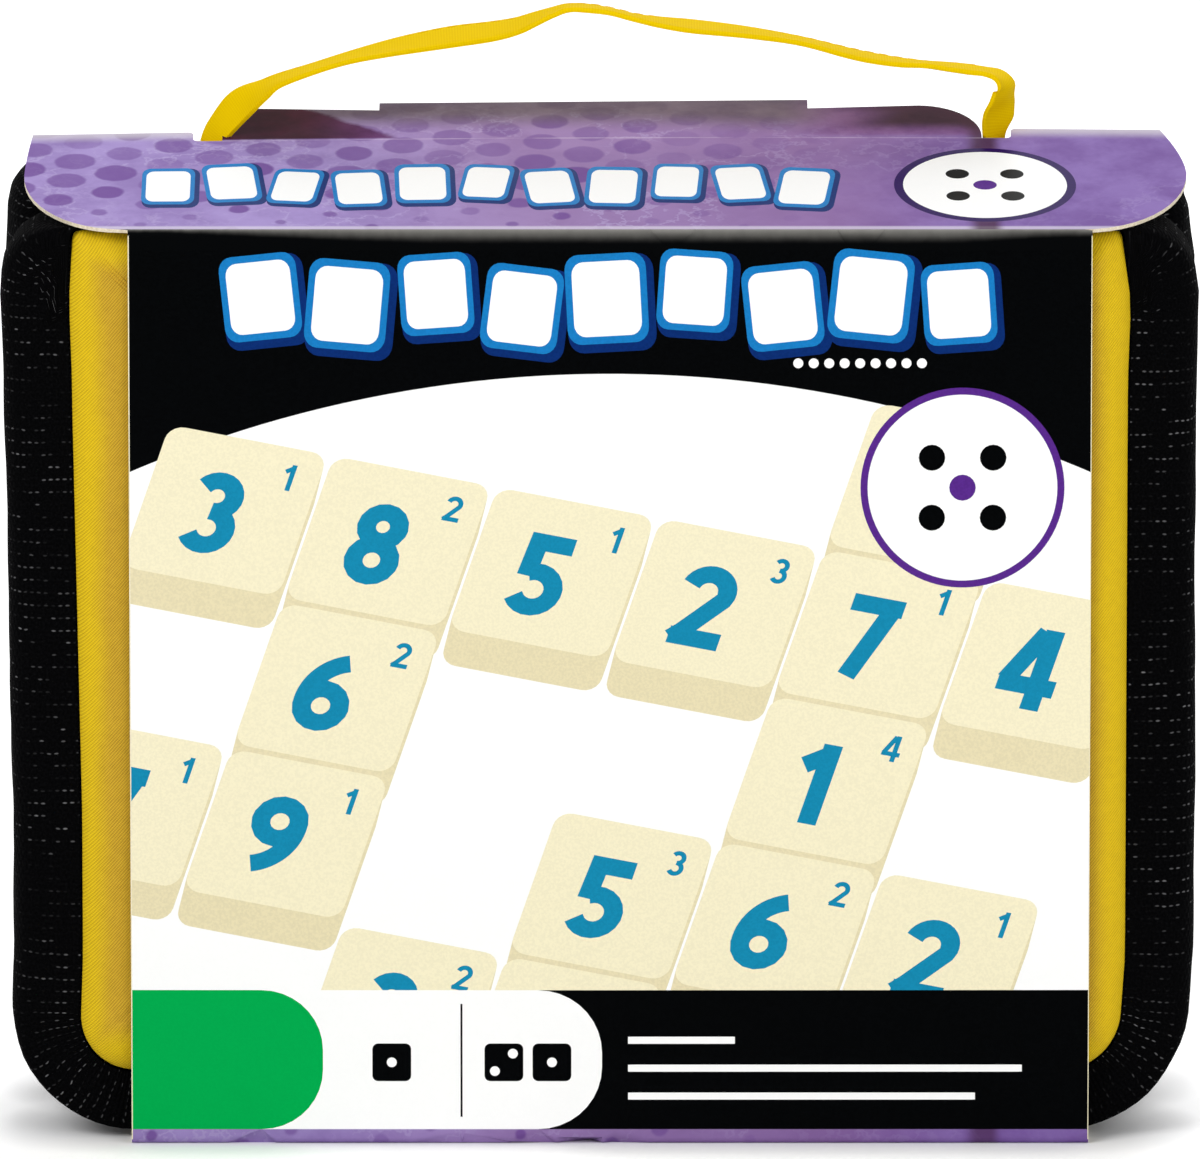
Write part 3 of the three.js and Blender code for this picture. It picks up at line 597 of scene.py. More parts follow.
# Each bend is nine points, and the last of them begins the next flat part
BEND_POINTS = 9
front_foot, roof_start, lip_start = path_along[BEND_POINTS : 4 * BEND_POINTS : BEND_POINTS]
sheet_end = path_along[-1]
SLOPE_LENGTH = math.hypot(1, ROOF_SLOPE)


def at_depth(y):
    """How far along the sheet the roof reaches this depth."""
    return roof_start + (y - path_line[2 * BEND_POINTS, 0]) * SLOPE_LENGTH


def at_height(z):
    """How far along the sheet the front panel reaches this height."""
    return front_foot + z - (BOTTOM_FOLD + BOARD / 2)


def roof_side(half_width, taper, tongue_corner):
    """The roof's cut edge on the right, as across and depth: the ear, the notch and the tongue."""
    bend = np.linspace(0, math.pi / 2, 14)
    ear_x = CARD_HALF_WIDTH + (half_width - CARD_HALF_WIDTH) * np.sin(bend)
    ear_y = -CARD_HALF_DEPTH + ROOF_FOLD + (EAR_CORNER - ROOF_FOLD) * (1 - np.cos(bend))
    side = np.linspace(0, 1, 8)[1:]
    side_x = half_width - taper * side**1.6
    side_y = ear_y[-1] + (EAR_END - ear_y[-1]) * side
    lip, root, corner = NOTCH_LIP_RADIUS, NOTCH_ROOT_RADIUS, np.array(tongue_corner)
    return np.concatenate(
        [
            np.stack([ear_x, ear_y], 1),
            np.stack([side_x, side_y], 1),
            arc_points((NOTCH_OUTER + lip, EAR_END - lip), lip, 90, 180, 5),
            arc_points((NOTCH_OUTER - root, NOTCH_FRONT + root), root, 0, -90, 5),
            [(NOTCH_INNER, NOTCH_FRONT)],
            arc_points((0, 0), 1, 0, 90, 14) * corner + (NOTCH_INNER, TONGUE_END) - corner,
        ]
    )


def on_roof(loop):
    """A loop drawn as x and depth becomes x and t on the roof."""
    return np.stack([loop[:, 0], at_depth(loop[:, 1])], 1)


def split_at(outline, rows):
    """The outline with a point more wherever one of its sides crosses one of the rows."""
    points = []
    for start, end in zip(outline, np.roll(outline, -1, axis=0)):
        points.append(start)
        low, high = sorted((start[1], end[1]))
        crossed = [row for row in rows if low + 0.01 < row < high - 0.01]
        crossed.sort(reverse=start[1] > end[1])
        points += [start + (end - start) * (row - start[1]) / (end[1] - start[1]) for row in crossed]
    return np.array(points)


def front_outline():
    """The sheet's cut outline, from the floor's right corner round to its left corner."""
    right = roof_side(RIGHT_EAR, RIGHT_TAPER, RIGHT_TONGUE_CORNER)
    left = roof_side(LEFT_EAR, LEFT_TAPER, LEFT_TONGUE_CORNER)[::-1] * [-1, 1]
    roof_right, roof_left = (on_roof(side) + (ROOF_SHIFT, 0) for side in (right, left))
    tab_foot = at_depth(TAB_FOOT)
    left, right, end = TAB_LEFT + LIP_ROUND, TAB_RIGHT - LIP_ROUND, sheet_end - LIP_ROUND
    tab = [(TAB_RIGHT, tab_foot), *arc_points((right, end), LIP_ROUND, 0, 90, 4)]
    tab += [*arc_points((left, end), LIP_ROUND, 90, 180, 4), (TAB_LEFT, tab_foot)]
    shoulder = roof_start - 0.3
    right_edge = [(CARD_RIGHT, 0), (CARD_RIGHT, shoulder)]
    left_edge = [(CARD_LEFT, shoulder), (CARD_LEFT, 0)]
    outline = np.concatenate([right_edge, roof_right, tab, roof_left, left_edge])
    return split_at(outline, path_along[1:-1])


# The print on the front, in a layout of its own: blank white blocks hopping along the header,
# cream tiles with plain figures, and a foot band in green, white and black.
LILAC, INK_BLACK, WHITE, CREAM, CREAM_SIDE, FIGURE_BLUE = range(6)
RIM_BLUE, SHADE_BLUE, GREEN, PURPLE, LIT_WORN_BLACK, PLUM = range(6, 12)
HEADER_APEX, HEADER_SIDE = 117.8, 102.8
BAND_TOP, BAND_FOOT = 23.7, 2.3
BLEED = 1.0
PRINT_LEFT, PRINT_RIGHT = CARD_LEFT - BLEED, CARD_RIGHT + BLEED


def upright(loop):
    """A loop drawn as x and height becomes x and t on the front panel."""
    return np.stack([loop[:, 0], at_height(loop[:, 1])], 1)


def placed(shapes, place):
    """Shapes with every loop moved to its place on the sheet."""
    return [([place(loop) for loop in loops], number) for loops, number in shapes]


def rectangle(x0, x1, z0, z1):
    """An upright rectangle as a loop."""
    return np.array([(x0, z0), (x1, z0), (x1, z1), (x0, z1)], float)


def turned(length, degrees):
    """A vector of this length at this angle."""
    angle = math.radians(degrees)
    return np.array([length * math.cos(angle), length * math.sin(angle)])


def clipped(loop, x0, x1, z0, z1):
    """A loop with every point moved into a rectangle."""
    return np.stack([np.clip(loop[:, 0], x0, x1), np.clip(loop[:, 1], z0, z1)], 1)


def header_blocks(size, row):
    """A row of blank white blocks with a blue rim and a dark drop shadow, each a bit askew."""
    shapes = []
    for n, (x, z, lean) in enumerate(row):
        swell = 0.5 + 0.03 * math.sin(2.1 * n)
        across, up = turned(size[0] * swell, lean), turned(size[1] * swell, lean + 90)
        for number, grow, drop in ((SHADE_BLUE, 1.30, 0.13), (RIM_BLUE, 1.2, 0), (WHITE, 1, 0)):
            middle = np.array([x, z]) + np.array([drop * size[0], -drop * size[1]]) / 2
            shapes.append(([rounded_block(middle, across * grow, up * grow, 0.34)], number))
    return shapes


TILE_HALF = 12.0
TILE_ACROSS = turned(TILE_HALF, -11)
TILE_UP = turned(11.4, 71)
TILE_BASIS = np.stack([TILE_ACROSS, TILE_UP]) / TILE_HALF
TILE_PITCH = 2.07
TILE_DROP = np.array([-1.3, -5.2])
TILE_START = np.array([-56.0, 97.0])
LARGE_SHIFT, SMALL_SHIFT = (-0.12, -0.06), (0.64, 0.6)
DOT_REACH = 0.75
# Column, row, large figure and small figure
printed_tiles = [
    (0, 0, 3, 1), (1, 0, 8, 2), (2, 0, 5, 1), (3, 0, 2, 3), (4, 0, 7, 1), (5, 0, 4, 2),
    (1, 1, 6, 2), (1, 2, 9, 1), (4, 1, 1, 4), (4, 2, 6, 2), (3, 2, 5, 3), (5, 2, 2, 1),
    (0, 2, 7, 1), (2, 3, 3, 2), (3, 3, 8, 1), (4, -1, 9, 3), (5, 4, 4, 1), (0, 4, 2, 1),
]


def tile_shapes():
    """Printed tiles seen a little from above: a darker side, a cream top and blue figures."""
    field = (PRINT_LEFT, PRINT_RIGHT, BAND_TOP - BLEED, CARD_FRONT_TOP)
    sides, tops = [], []
    for column, row, figure, small in sorted(printed_tiles, key=lambda tile: tile[1]):
        middle = TILE_START + (TILE_ACROSS * column - TILE_UP * row) * TILE_PITCH
        top = rounded_block(middle, TILE_ACROSS, TILE_UP, 0.2)
        if clipped(top, *field)[:, 1].max() <= BAND_TOP:
            continue
        sides.append(([hull(np.concatenate([top, top + TILE_DROP]))], CREAM_SIDE))
        tops.append(([top], CREAM))
        for digit, height, weight, (right, up) in (
            (figure, 13.4, 0.21, LARGE_SHIFT),
            (small, 4.3, 0.17, SMALL_SHIFT),
        ):
            offset = middle + TILE_ACROSS * right + TILE_UP * up
            for loops in figure_shapes(digit, height, weight):
                tops.append(([loop @ TILE_BASIS + offset for loop in loops], FIGURE_BLUE))
    return sides + tops


def pill(x0, x1, z0, z1, radius):
    """A band with a square left end and a round-cornered right end."""
    top = arc_points((x1 - radius, z1 - radius), radius, 90, 0)
    foot = arc_points((x1 - radius, z0 + radius), radius, 0, -90)
    return np.concatenate([[(x0, z0), (x0, z1)], top, foot])


def badge(middle, reach, inner_share, rim):
    """A round badge with a dark rim and five plain dots."""
    shapes = []
    for share, number in ((1.0, rim), (inner_share, WHITE)):
        shapes.append(([arc_points(middle, reach * share, 0, 356, 90)], number))
    for x, z in ((-0.3, 0.3), (0.3, 0.3), (0, 0), (-0.3, -0.3), (0.3, -0.3)):
        centre = (middle[0] + x * reach, middle[1] + z * reach)
        dot = level_block(*centre, reach * 0.13, reach * 0.13, 1.0)
        shapes.append(([dot], INK_BLACK if x else PURPLE))
    return shapes


def white_field():
    """The white field, from the header's arc down to the foot band."""
    arc_height = HEADER_APEX - HEADER_SIDE
    radius = (CARD_HALF_WIDTH**2 + arc_height**2) / (2 * arc_height)
    spread = math.degrees(math.asin((CARD_HALF_WIDTH + BLEED) / radius))
    arc = arc_points((CARD_SHIFT, HEADER_APEX - radius), radius, 90 + spread, 90 - spread, 48)
    return np.concatenate([arc, [(PRINT_RIGHT, BAND_TOP), (PRINT_LEFT, BAND_TOP)]])


def header_shapes():
    """The header's row of blocks, a row of small dots under it, and a badge."""
    row = [
        (-50.5, 129.4, 6), (-37.6, 128.2, -5), (-24.4, 129.9, 4), (-11.6, 127.7, -7), (1.0, 129.2, 3),
        (14.1, 130.4, -4), (27.2, 128.0, 6), (40.3, 129.6, -6), (53.4, 128.4, 4),
    ]
    shapes = header_blocks((9.6, 10.8), row)
    for n in range(9):
        shapes.append(([level_block(29.5 + 2.3 * n, 119.4, DOT_REACH, DOT_REACH, 1.0)], WHITE))
    return shapes + badge((54, 100.5), 15.2, 0.93, PURPLE)


def foot_shapes():
    """On the foot band: a white pill with a green end, three small dice, a line and three bars."""
    shapes = [
        ([pill(PRINT_LEFT, 0.3, BAND_FOOT, BAND_TOP, 9.6)], WHITE),
        ([pill(PRINT_LEFT, -41.5, BAND_FOOT, BAND_TOP, 9.2)], GREEN),
        ([rectangle(-20.9, -20.6, 4.2, 21.6)], INK_BLACK),
    ]
    die_height, die_half = 12.6, 2.9
    for x, spread in ((-31.2, 0.0), (-14.4, 1.35), (-7.2, 0.0)):
        shapes.append(([level_block(x, die_height, die_half, die_half, 0.3)], INK_BLACK))
        for offset in (-spread, spread) if spread else (0,):
            pip = level_block(x + offset, die_height + offset, DOT_REACH, DOT_REACH, 1.0)
            shapes.append(([pip], WHITE))
    for n, reach in enumerate((8.0, 29.5, 26.0)):
        shapes.append(([level_block(4.2 + reach, 16.0 - 4.3 * n, reach, 0.55, 0.05)], WHITE))
    return shapes


def front_shapes():
    """Everything printed on the front and the roof, from the bottom layer up."""
    black_top, lit_worn_foot = roof_start - 0.1, at_height(CARD_FRONT_TOP - 3)
    roof_row = [
        (-64.5 + 9.5 * n, -8.2 + 1.2 * math.sin(1.7 * n), 7 * math.sin(2.3 * n)) for n in range(11)
    ]
    edges = ((PRINT_LEFT, CARD_LEFT + 0.16), (CARD_RIGHT - 0.12, PRINT_RIGHT))
    return [
        ([rectangle(PRINT_LEFT, PRINT_RIGHT, at_height(BAND_FOOT), black_top)], INK_BLACK),
        ([rectangle(PRINT_LEFT, PRINT_RIGHT, lit_worn_foot, black_top)], LIT_WORN_BLACK),
        ([upright(white_field())], WHITE),
        *placed(tile_shapes(), upright),
        ([upright(rectangle(PRINT_LEFT, PRINT_RIGHT, BAND_FOOT, BAND_TOP))], INK_BLACK),
        *placed(header_shapes() + foot_shapes(), upright),
        ([rectangle(PRINT_LEFT, PRINT_RIGHT, 0, at_height(BAND_FOOT))], LILAC),
        *placed(header_blocks((6.6, 11.6), roof_row) + badge((57.5, -8.3), 13.6, 0.9, PLUM), on_roof),
        *(([upright(rectangle(*edge, 0.8, CARD_FRONT_TOP - 0.8))], CREAM) for edge in edges),
    ]


# The inks in the order of their numbers, each with how far its mottle spreads
print_colours = {
    "print_black": (srgb(4, 5, 6), 0.2),
    "print_white": (srgb(250, 250, 249), 0.004),
    "print_cream": (srgb(240, 232, 198), 0.03),
    "print_cream_side": (srgb(226, 215, 176), 0.04),
    "print_figure_blue": (srgb(22, 134, 172), 0.05),
    "print_rim_blue": (srgb(26, 122, 190), 0.05),
    "print_shade_blue": (srgb(12, 44, 108), 0.08),
    "print_green": (srgb(2, 166, 76), 0.02),
    "print_purple": (srgb(86, 42, 134), 0.06),
}
lilac_dots = (roof_start * MM, at_depth(-3) * MM)
# Where the roof's wash darkens into painted shade, from none to full
lilac_shade_span = (at_depth(11) * MM, at_depth(20) * MM)
lilac_ears = (at_depth(EAR_END - 4) * MM, at_depth(EAR_END) * MM)
lilac_fold = (roof_start + 0.4) * MM
crease = at_depth(NOTCH_FRONT) * MM
corner_reach = np.array(RIGHT_TONGUE_CORNER)
corner_middle = np.array([NOTCH_INNER + ROOF_SHIFT, at_depth(TONGUE_END)]) - corner_reach
corner_reach, corner_middle = (corner_reach * MM).tolist(), (corner_middle * MM).tolist()


def right_end_shade(colour, x, t, tongue, wash, cloud):
    """Painted shade on the tongue's right end: a deeper violet, then brown, and darkest along the
    rounded corner.
    """
    # Painted shade: the violet deepens past the crease, goes near black at the tip, and darkens along
    # the corner.
    deepen = t.step(crease, crease + 2 * MM) * x.step(0.026, 0.038) * tongue
    colour = (deepen * 0.7).mix(colour, cloud.mix(srgb(94, 46, 106), srgb(132, 88, 140)))
    tip = (x - (t - crease) * 0.65 + (wash - 0.5) * 0.006).step(0.03, 0.041)
    bark = tip * t.step(crease + 1.5 * MM, crease + 6.5 * MM) * tongue
    colour = (bark * 0.9).mix(colour, cloud.mix(srgb(38, 14, 16), srgb(58, 32, 34)))
    over = ((x - corner_middle[0]) / corner_reach[0]).most(0)
    up = ((t - corner_middle[1]) / corner_reach[1]).most(0)
    rimmed = (over * over + up * up).root().step(0.66, 0.94) * x.step(0.03, 0.046) * tongue
    return (rimmed * 0.8).mix(colour, srgb(70, 40, 56))


def left_end_strap_shadow(colour, x, t, tongue, wash, cloud):
    """The tongue's left end: a painted shadow of the strap, maroon to violet, that begins at the
    notches' crease.
    """
    # Painted shadow of the strap: maroon at the far left and violet further in.
    corner = (x + 0.0415) * 0.672 + (t - lilac_shade_span[1]) * 0.741 + (wash - 0.5) * 0.004
    plum = (1 - corner.step(-1.2 * MM, 0.2 * MM)) * t.step(crease, crease + 0.8 * MM) * tongue
    maroon = cloud.mix(srgb(48, 12, 20), srgb(72, 24, 40))
    violet = cloud.mix(srgb(86, 40, 94), srgb(112, 66, 126))
    return (plum * 0.97).mix(colour, x.step(-0.046, -0.026).mix(maroon, violet))


def front_wear_and_shade(colour, x, t, tongue, wash, cloud):
    """Painted shade and shadow on the tongue's ends and the floor, a pale crease, and paler ear ends.
    """
    colour = right_end_shade(colour, x, t, tongue, wash, cloud)
    colour = left_end_strap_shadow(colour, x, t, tongue, wash, cloud)
    bent = (1 - (t - crease).size().step(0.06 * MM, 0.3 * MM)) * tongue * cloud
    colour = (bent * 0.5).mix(colour, srgb(206, 190, 216))
    # The ears go pale towards their back ends: wear with a painted highlight.
    pale_ear_ends = t.step(*lilac_ears) * (1 - tongue)
    colour = (pale_ear_ends * 0.75).mix(colour, srgb(212, 206, 212))
    # Painted shade over the floor, fading out across the bottom fold and the lilac strip above it.
    foot = 1 - t.step(0.04, 0.06)
    return (foot * 0.66).mix(colour, srgb(90, 58, 124))


card_inks = [lilac_finish("print_lilac", lilac_dots, lilac_shade_span, lilac_fold, front_wear_and_shade)]
for name, (colour, spread) in print_colours.items():
    card_inks.append(print_finish(name, colour, spread))
# A painted highlight, with some wear, greys the black just below the roof fold
card_inks.append(lit_worn_fold_finish("print_black_lit_worn_fold", roof_start * MM, 2.3 * MM))
card_inks.append(print_finish("print_plum", srgb(40, 10, 84), 0.06))
card_back = finish("board_back", board_back)
card_edge = finish("board_edge", board_edge)

LATTICE_STEP = 7.0
lattice_x = np.arange(-84, 85, LATTICE_STEP) + 0.37
lattice_t = np.concatenate([np.arange(3.1, sheet_end, LATTICE_STEP), path_along[1:-1] + 0.011])


def lattice(across, along):
    """The points where every place across meets every place along."""
    return np.stack(np.meshgrid(across, along), -1).reshape(-1, 2)


def part_way(value, start, end):
    """How far a value has come from start to end, held to 0 at one and 1 at the other."""
    return np.clip((value - start) / (end - start), 0, 1)


def front_warp(flat):
    """The front's slight bow, and the roof's spring, which falls off along its tab.

    Both the spring and the fold at the tab's end are higher to the right.
    """
    x, t = flat.T
    held_from, bow_length = at_depth(TAB_FOOT), 139
    bow_share = part_way(t, front_foot, front_foot + bow_length)
    bow = 0.22 * np.cos(x / 40) * np.sin(bow_share * math.pi)
    back = part_way(t, roof_start, at_depth(EAR_END))
    held = part_way(t, held_from, held_from + LIP_DEPTH - TAB_FOOT - 1)
    spring = (0.52 + 0.0048 * x - 0.000088 * x**2) * back * (1 - held)
    ridge = 0.0085 * np.clip(x - TAB_LEFT, 0, 64) * held * part_way(t, lip_start, lip_start - 0.8)
    return bow + spring + ridge


front_sleeve = folded_card(
    "front_sleeve_card_print",
    flat_pattern(front_outline(), front_shapes(), lattice(lattice_x, lattice_t)),
    front_path,
    BOARD,
    [*card_inks, card_back, card_edge],
    front_warp,
)
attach(front_sleeve, "front_sleeve_card")
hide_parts("front_card")


# Back sleeve card. The same board: a glue flap under the case, the back, and a narrow riser that
# stands behind the front card's lip. It is drawn from the riser's head down to the flap.
BACK_FACE = CARD_HALF_DEPTH - BOARD / 2
RISER_TOP = 148.2
BACK_TOP = 143.4
FLAP_HEIGHT = 1.2
FLAP_END = 9.5
FLAP_FOLD = 0.9
FLAP_CUT_LENGTH, FLAP_CUT_WIDTH = 9, 5
SHOULDER_RADIUS = 2.5
BACK_TILE_HALF = 8.6

back_path = bent_path(
    [(BACK_FACE, RISER_TOP), (BACK_FACE, FLAP_HEIGHT), (FLAP_END, FLAP_HEIGHT)],
    [FLAP_FOLD],
)
_, back_along, _ = back_path
back_end = back_along[-1]


def behind(loop):
    """A loop as seen from behind, across and height, becomes x and t on the back."""
    return np.stack([-loop[:, 0], RISER_TOP - loop[:, 1]], 1)


def back_outline():
    """The cut outline: the riser, the square shoulders, and the flap with its corners taken off."""
    shoulder, radius = RISER_TOP - BACK_TOP, SHOULDER_RADIUS
    head = [
        *arc_points((TAB_LEFT + LIP_ROUND, LIP_ROUND), LIP_ROUND, 180, 270, 4),
        *arc_points((TAB_RIGHT - LIP_ROUND, LIP_ROUND), LIP_ROUND, 270, 360, 4),
    ]
    right_corner = arc_points((CARD_RIGHT - radius, shoulder + radius), radius, 270, 360, 6)
    left_corner = arc_points((CARD_LEFT + radius, shoulder + radius), radius, 180, 270, 6)
    right_side, left_side = [(TAB_RIGHT, shoulder), *right_corner], [*left_corner, (TAB_LEFT, shoulder)]
    cut_from = back_end - FLAP_CUT_LENGTH
    foot = [(CARD_RIGHT, cut_from), (CARD_RIGHT - FLAP_CUT_WIDTH, back_end)]
    foot += [(CARD_LEFT + FLAP_CUT_WIDTH, back_end), (CARD_LEFT, cut_from)]
    return split_at(np.concatenate([head, right_side, foot, left_side]), back_along[1:-1])


def back_shapes():
    """Plain print: a white label area with ruled bars, tiles with figures, and a black foot band."""
    edge = CARD_HALF_WIDTH + 2 * BLEED
    shapes = [
        ([rectangle(-edge, edge, BAND_FOOT, BAND_TOP)], INK_BLACK),
        ([level_block(-CARD_SHIFT, 83, 62, 47, 0.12)], WHITE),
    ]
    for n, figure in enumerate((7, 2, 9, 4, 1)):
        middle = np.array([-46.0 + 22.4 * n, 107.5 + 3.2 * math.sin(2.4 * n)])
        lean = 7 * math.sin(1.9 * n + 0.6)
        across, up = turned(BACK_TILE_HALF, lean), turned(BACK_TILE_HALF, lean + 90)
        for number, drop in ((CREAM_SIDE, (0.8, -2.6)), (CREAM, (0, 0))):
            shapes.append(([rounded_block(middle + drop, across, up, 0.22)], number))
        basis = np.stack([across, up]) / BACK_TILE_HALF
        for loops in figure_shapes(figure, 10.4, 0.21):
            shapes.append(([loop @ basis + middle for loop in loops], FIGURE_BLUE))
    for row, reach in enumerate((52, 50, 53, 31, 52, 48, 51, 22)):
        height = 82 - 5.2 * row - (3 if row > 3 else 0)
        shapes.append(([level_block(reach - 53.5, height, reach, 0.6, 0.1)], INK_BLACK))
    for n, number in enumerate((GREEN, WHITE, PURPLE, WHITE)):
        shapes.append(([level_block(-46 + 13.4 * n, 13.0, 12.6 / 2.6, 4.8, 0.3)], number))
    return placed(shapes, behind)


back_t = np.concatenate([np.arange(3.1, back_end, LATTICE_STEP), back_along[1:-1] + 0.011])


def back_warp(flat):
    """The back bows inwards by a hair between its folds."""
    return -0.25 * np.sin(part_way(flat[:, 1], 0, RISER_TOP) * math.pi) * np.cos(flat[:, 0] / 46)


# The back's wash darkens in painted shade over the riser's topmost few millimetres.
back_lilac = lilac_finish("print_lilac_back", (0.12, 0.0), (0.004, -0.003), RISER_TOP * MM)
back_sleeve = folded_card(
    "back_sleeve_card_print",
    flat_pattern(back_outline(), back_shapes(), lattice(lattice_x, back_t)),
    back_path,
    BOARD,
    [back_lilac, *card_inks[1:], card_back, card_edge],
    back_warp,
)
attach(back_sleeve, "back_sleeve_card")
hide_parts("back_card")


# Padded panels. Yellow polyester twill over a thin foam pad, sewn all round into the gusset, so
# that the cloth rolls over softly at its edge and lies nearly flat in the middle.
CASE_HALF = 89.0
CASE_FLOOR = 1.8
SEAM_INSET = 10.3
FRONT_SEAM_TOP, REAR_SEAM_TOP = 139.4, 142.6
INSIDE_DROP = 2.0
SEAM_CORNER = 1.8
SEAM_SAG = 1.5
CORNER_STEPS, SIDE_STEPS = 14, 30
FACE_RINGS = 12
HALVES = (("lid_half", -1, FRONT_SEAM_TOP), ("rear_half", 1, REAR_SEAM_TOP))


def settled(x, z):
    """How far the full case's side has moved out at a height.

    It bulges at its shoulders, leans in at the top and at the right foot, and in at the left's waist.
    """
    shoulders = 0.4 * part_way(z, 116, 128)
    lean = np.where(x > 0, 1.3, 0.5) * part_way(z, 128, 137)
    waist = 1.2 * part_way(z, 112, 50) * (x < 0)
    foot = np.where(x > 0, -1.1, 0.6) * part_way(z, 28, 12)
    return np.sign(x) * (shoulders - lean - waist + foot) * part_way(np.abs(x), 60, 79)


def case_rings(half, top, bottom, top_radius, bottom_radius):
    """Rounded rectangles in x and z, one for each entry of the arrays.

    Each is four quarter circles joined by straight sides. The steps are the same on every ring,
    so that rings of different sizes match point for point. Runs up the right side, shape (n, m, 2).
    """
    sizes = (half, top, bottom, top_radius, bottom_radius)
    sizes = np.broadcast_arrays(*(np.atleast_1d(np.asarray(size, float)) for size in sizes))
    half, top, bottom, top_radius, bottom_radius = (size[:, None] for size in sizes)
    quarter = np.radians(np.linspace(0, 90, CORNER_STEPS + 1))[None]
    corners = []
    for sx, is_top, start in ((1, False, -90), (1, True, 0), (-1, True, 90), (-1, False, 180)):
        radius = top_radius if is_top else bottom_radius
        angle = quarter + math.radians(start)
        middle_height = top - radius if is_top else bottom + radius
        across = sx * (half - radius) + radius * np.cos(angle)
        corners.append(np.stack([across, middle_height + radius * np.sin(angle)], -1))
    share = np.linspace(0, 1, SIDE_STEPS + 1)[1:-1][None, :, None]
    ring = []
    for corner, after in zip(corners, corners[1:] + corners[:1]):
        ring += [corner, corner[:, -1:] * (1 - share) + after[:, :1] * share]
    return np.concatenate(ring, 1)


def hump(value, middle, reach):
    """1 at the middle, falling off smoothly on both sides."""
    return np.exp(-(((value - middle) / reach) ** 2))


def cloth_waves(x, z, size, seed):
    """Soft unevenness of cloth: three sine waves at odd angles, added up. From -1 to 1."""
    total = 0
    for n in range(3):
        angle = seed + 2.1 * n
        phase = (x * math.cos(angle) + z * math.sin(angle)) * 2 * math.pi / (size * (1 + 0.37 * n))
        total = total + np.sin(phase + 1.7 * seed * (n + 1))
    return total / 3


def surface(name, grid, materials, wrap=(False, True), caps=False, uv=None):
    """Quads over a grid of points in millimetres, shape (rows, columns, 3), closed round if told.

    The UV map holds lengths in metres: along the longest row, and down the middle column. Faces
    point along the row's direction crossed with the column's.
    """
    rows, columns = grid.shape[:2]
    n, m = rows + wrap[0], columns + wrap[1]
    full = grid[np.arange(n) % rows][:, np.arange(m) % columns]
    if uv is None:
        longest = np.linalg.norm(np.diff(full, axis=1), axis=2).sum(1).argmax()
        across, down = lengths_along(full[longest]), lengths_along(full[:, m // 2])
        uv = np.stack(np.broadcast_arrays(across[None, :], down[:, None]), -1) * MM
    i, j = (v.ravel() for v in np.meshgrid(np.arange(n - 1), np.arange(m - 1), indexing="ij"))
    steps = ((i, j), (i, j + 1), (i + 1, j + 1), (i + 1, j))
    quads = np.stack([(a % rows) * columns + b % columns for a, b in steps], 1)
    corner_uv = [np.stack([uv[a, b] for a, b in steps], 1).reshape(-1, 2)]
    faces = quads.tolist()
    if caps:
        for row, order in ((0, range(columns - 1, -1, -1)), (rows - 1, range(columns))):
            faces.append([row * columns + k for k in order])
            corner_uv.append(uv[row, list(order)])
    return new_piece(name, grid.reshape(-1, 3) * MM, faces, materials, uv=np.concatenate(corner_uv))


def panel_rings(seam_top, inward):
    """Rings of a sewn panel at each distance inward from its seam."""
    total = SEAM_INSET + np.asarray(inward, float)
    top_radius = np.maximum(SEAM_CORNER - total / 2 + SEAM_INSET / 2, 1)
    bottom_radius = np.maximum(19 - total, 4)
    top, bottom = seam_top - 0.3 - total + SEAM_INSET, CASE_FLOOR + total - SEAM_SAG
    rings = case_rings(CASE_HALF - total, top, bottom, top_radius, bottom_radius)
    rings[..., 0] += settled(rings[..., 0], rings[..., 1])
    return rings


def pad_grid(side, seam_top, levels, sag, puckers, roll=0):
    """A pad's whole skin, from the middle of its face over the edge to the middle of its back.

    levels pairs the distance inward from the seam with the depth, face first. Inside the first
    and last level the ring shrinks evenly to the middle. The face sinks by `sag` in its middle,
    and the whole pad rolls back by `roll` over its topmost 6 mm.
    """
    inward, depth = np.array(levels, float).T
    rings = panel_rings(seam_top, inward)
    middle = rings[0].mean(0)
    shrink = np.linspace(0.004, 1, FACE_RINGS + 1)[:-1, None, None]
    face = middle + (rings[:1] - middle) * shrink
    back = middle + (rings[-1:] - middle) * shrink[::-1]
    flat = np.concatenate([face, rings, back])
    x, z = flat[..., 0], flat[..., 1]
    depths = np.concatenate([np.full(FACE_RINGS, depth[0]), depth, np.full(FACE_RINGS, depth[-1])])
    depths = np.repeat(depths[:, None], flat.shape[1], 1)
    sink = np.zeros(len(flat))
    sink[:FACE_RINGS] = 1 - shrink[:, 0, 0] ** 4
    depths -= sag * sink[:, None] * (0.6 + 0.4 * cloth_waves(x, z, 46, 1.3))
    depths -= roll * part_way(z, seam_top - 6, seam_top) ** 2
    around = np.arange(flat.shape[1])
    pucker = 0.5 + 0.5 * np.sin(around * 1.9) * np.sin(around * 0.61)
    depths -= puckers * hump(np.arange(len(flat)), FACE_RINGS + 2, 2.0)[:, None] * pucker
    return np.stack([x, side * depths, z], -1)


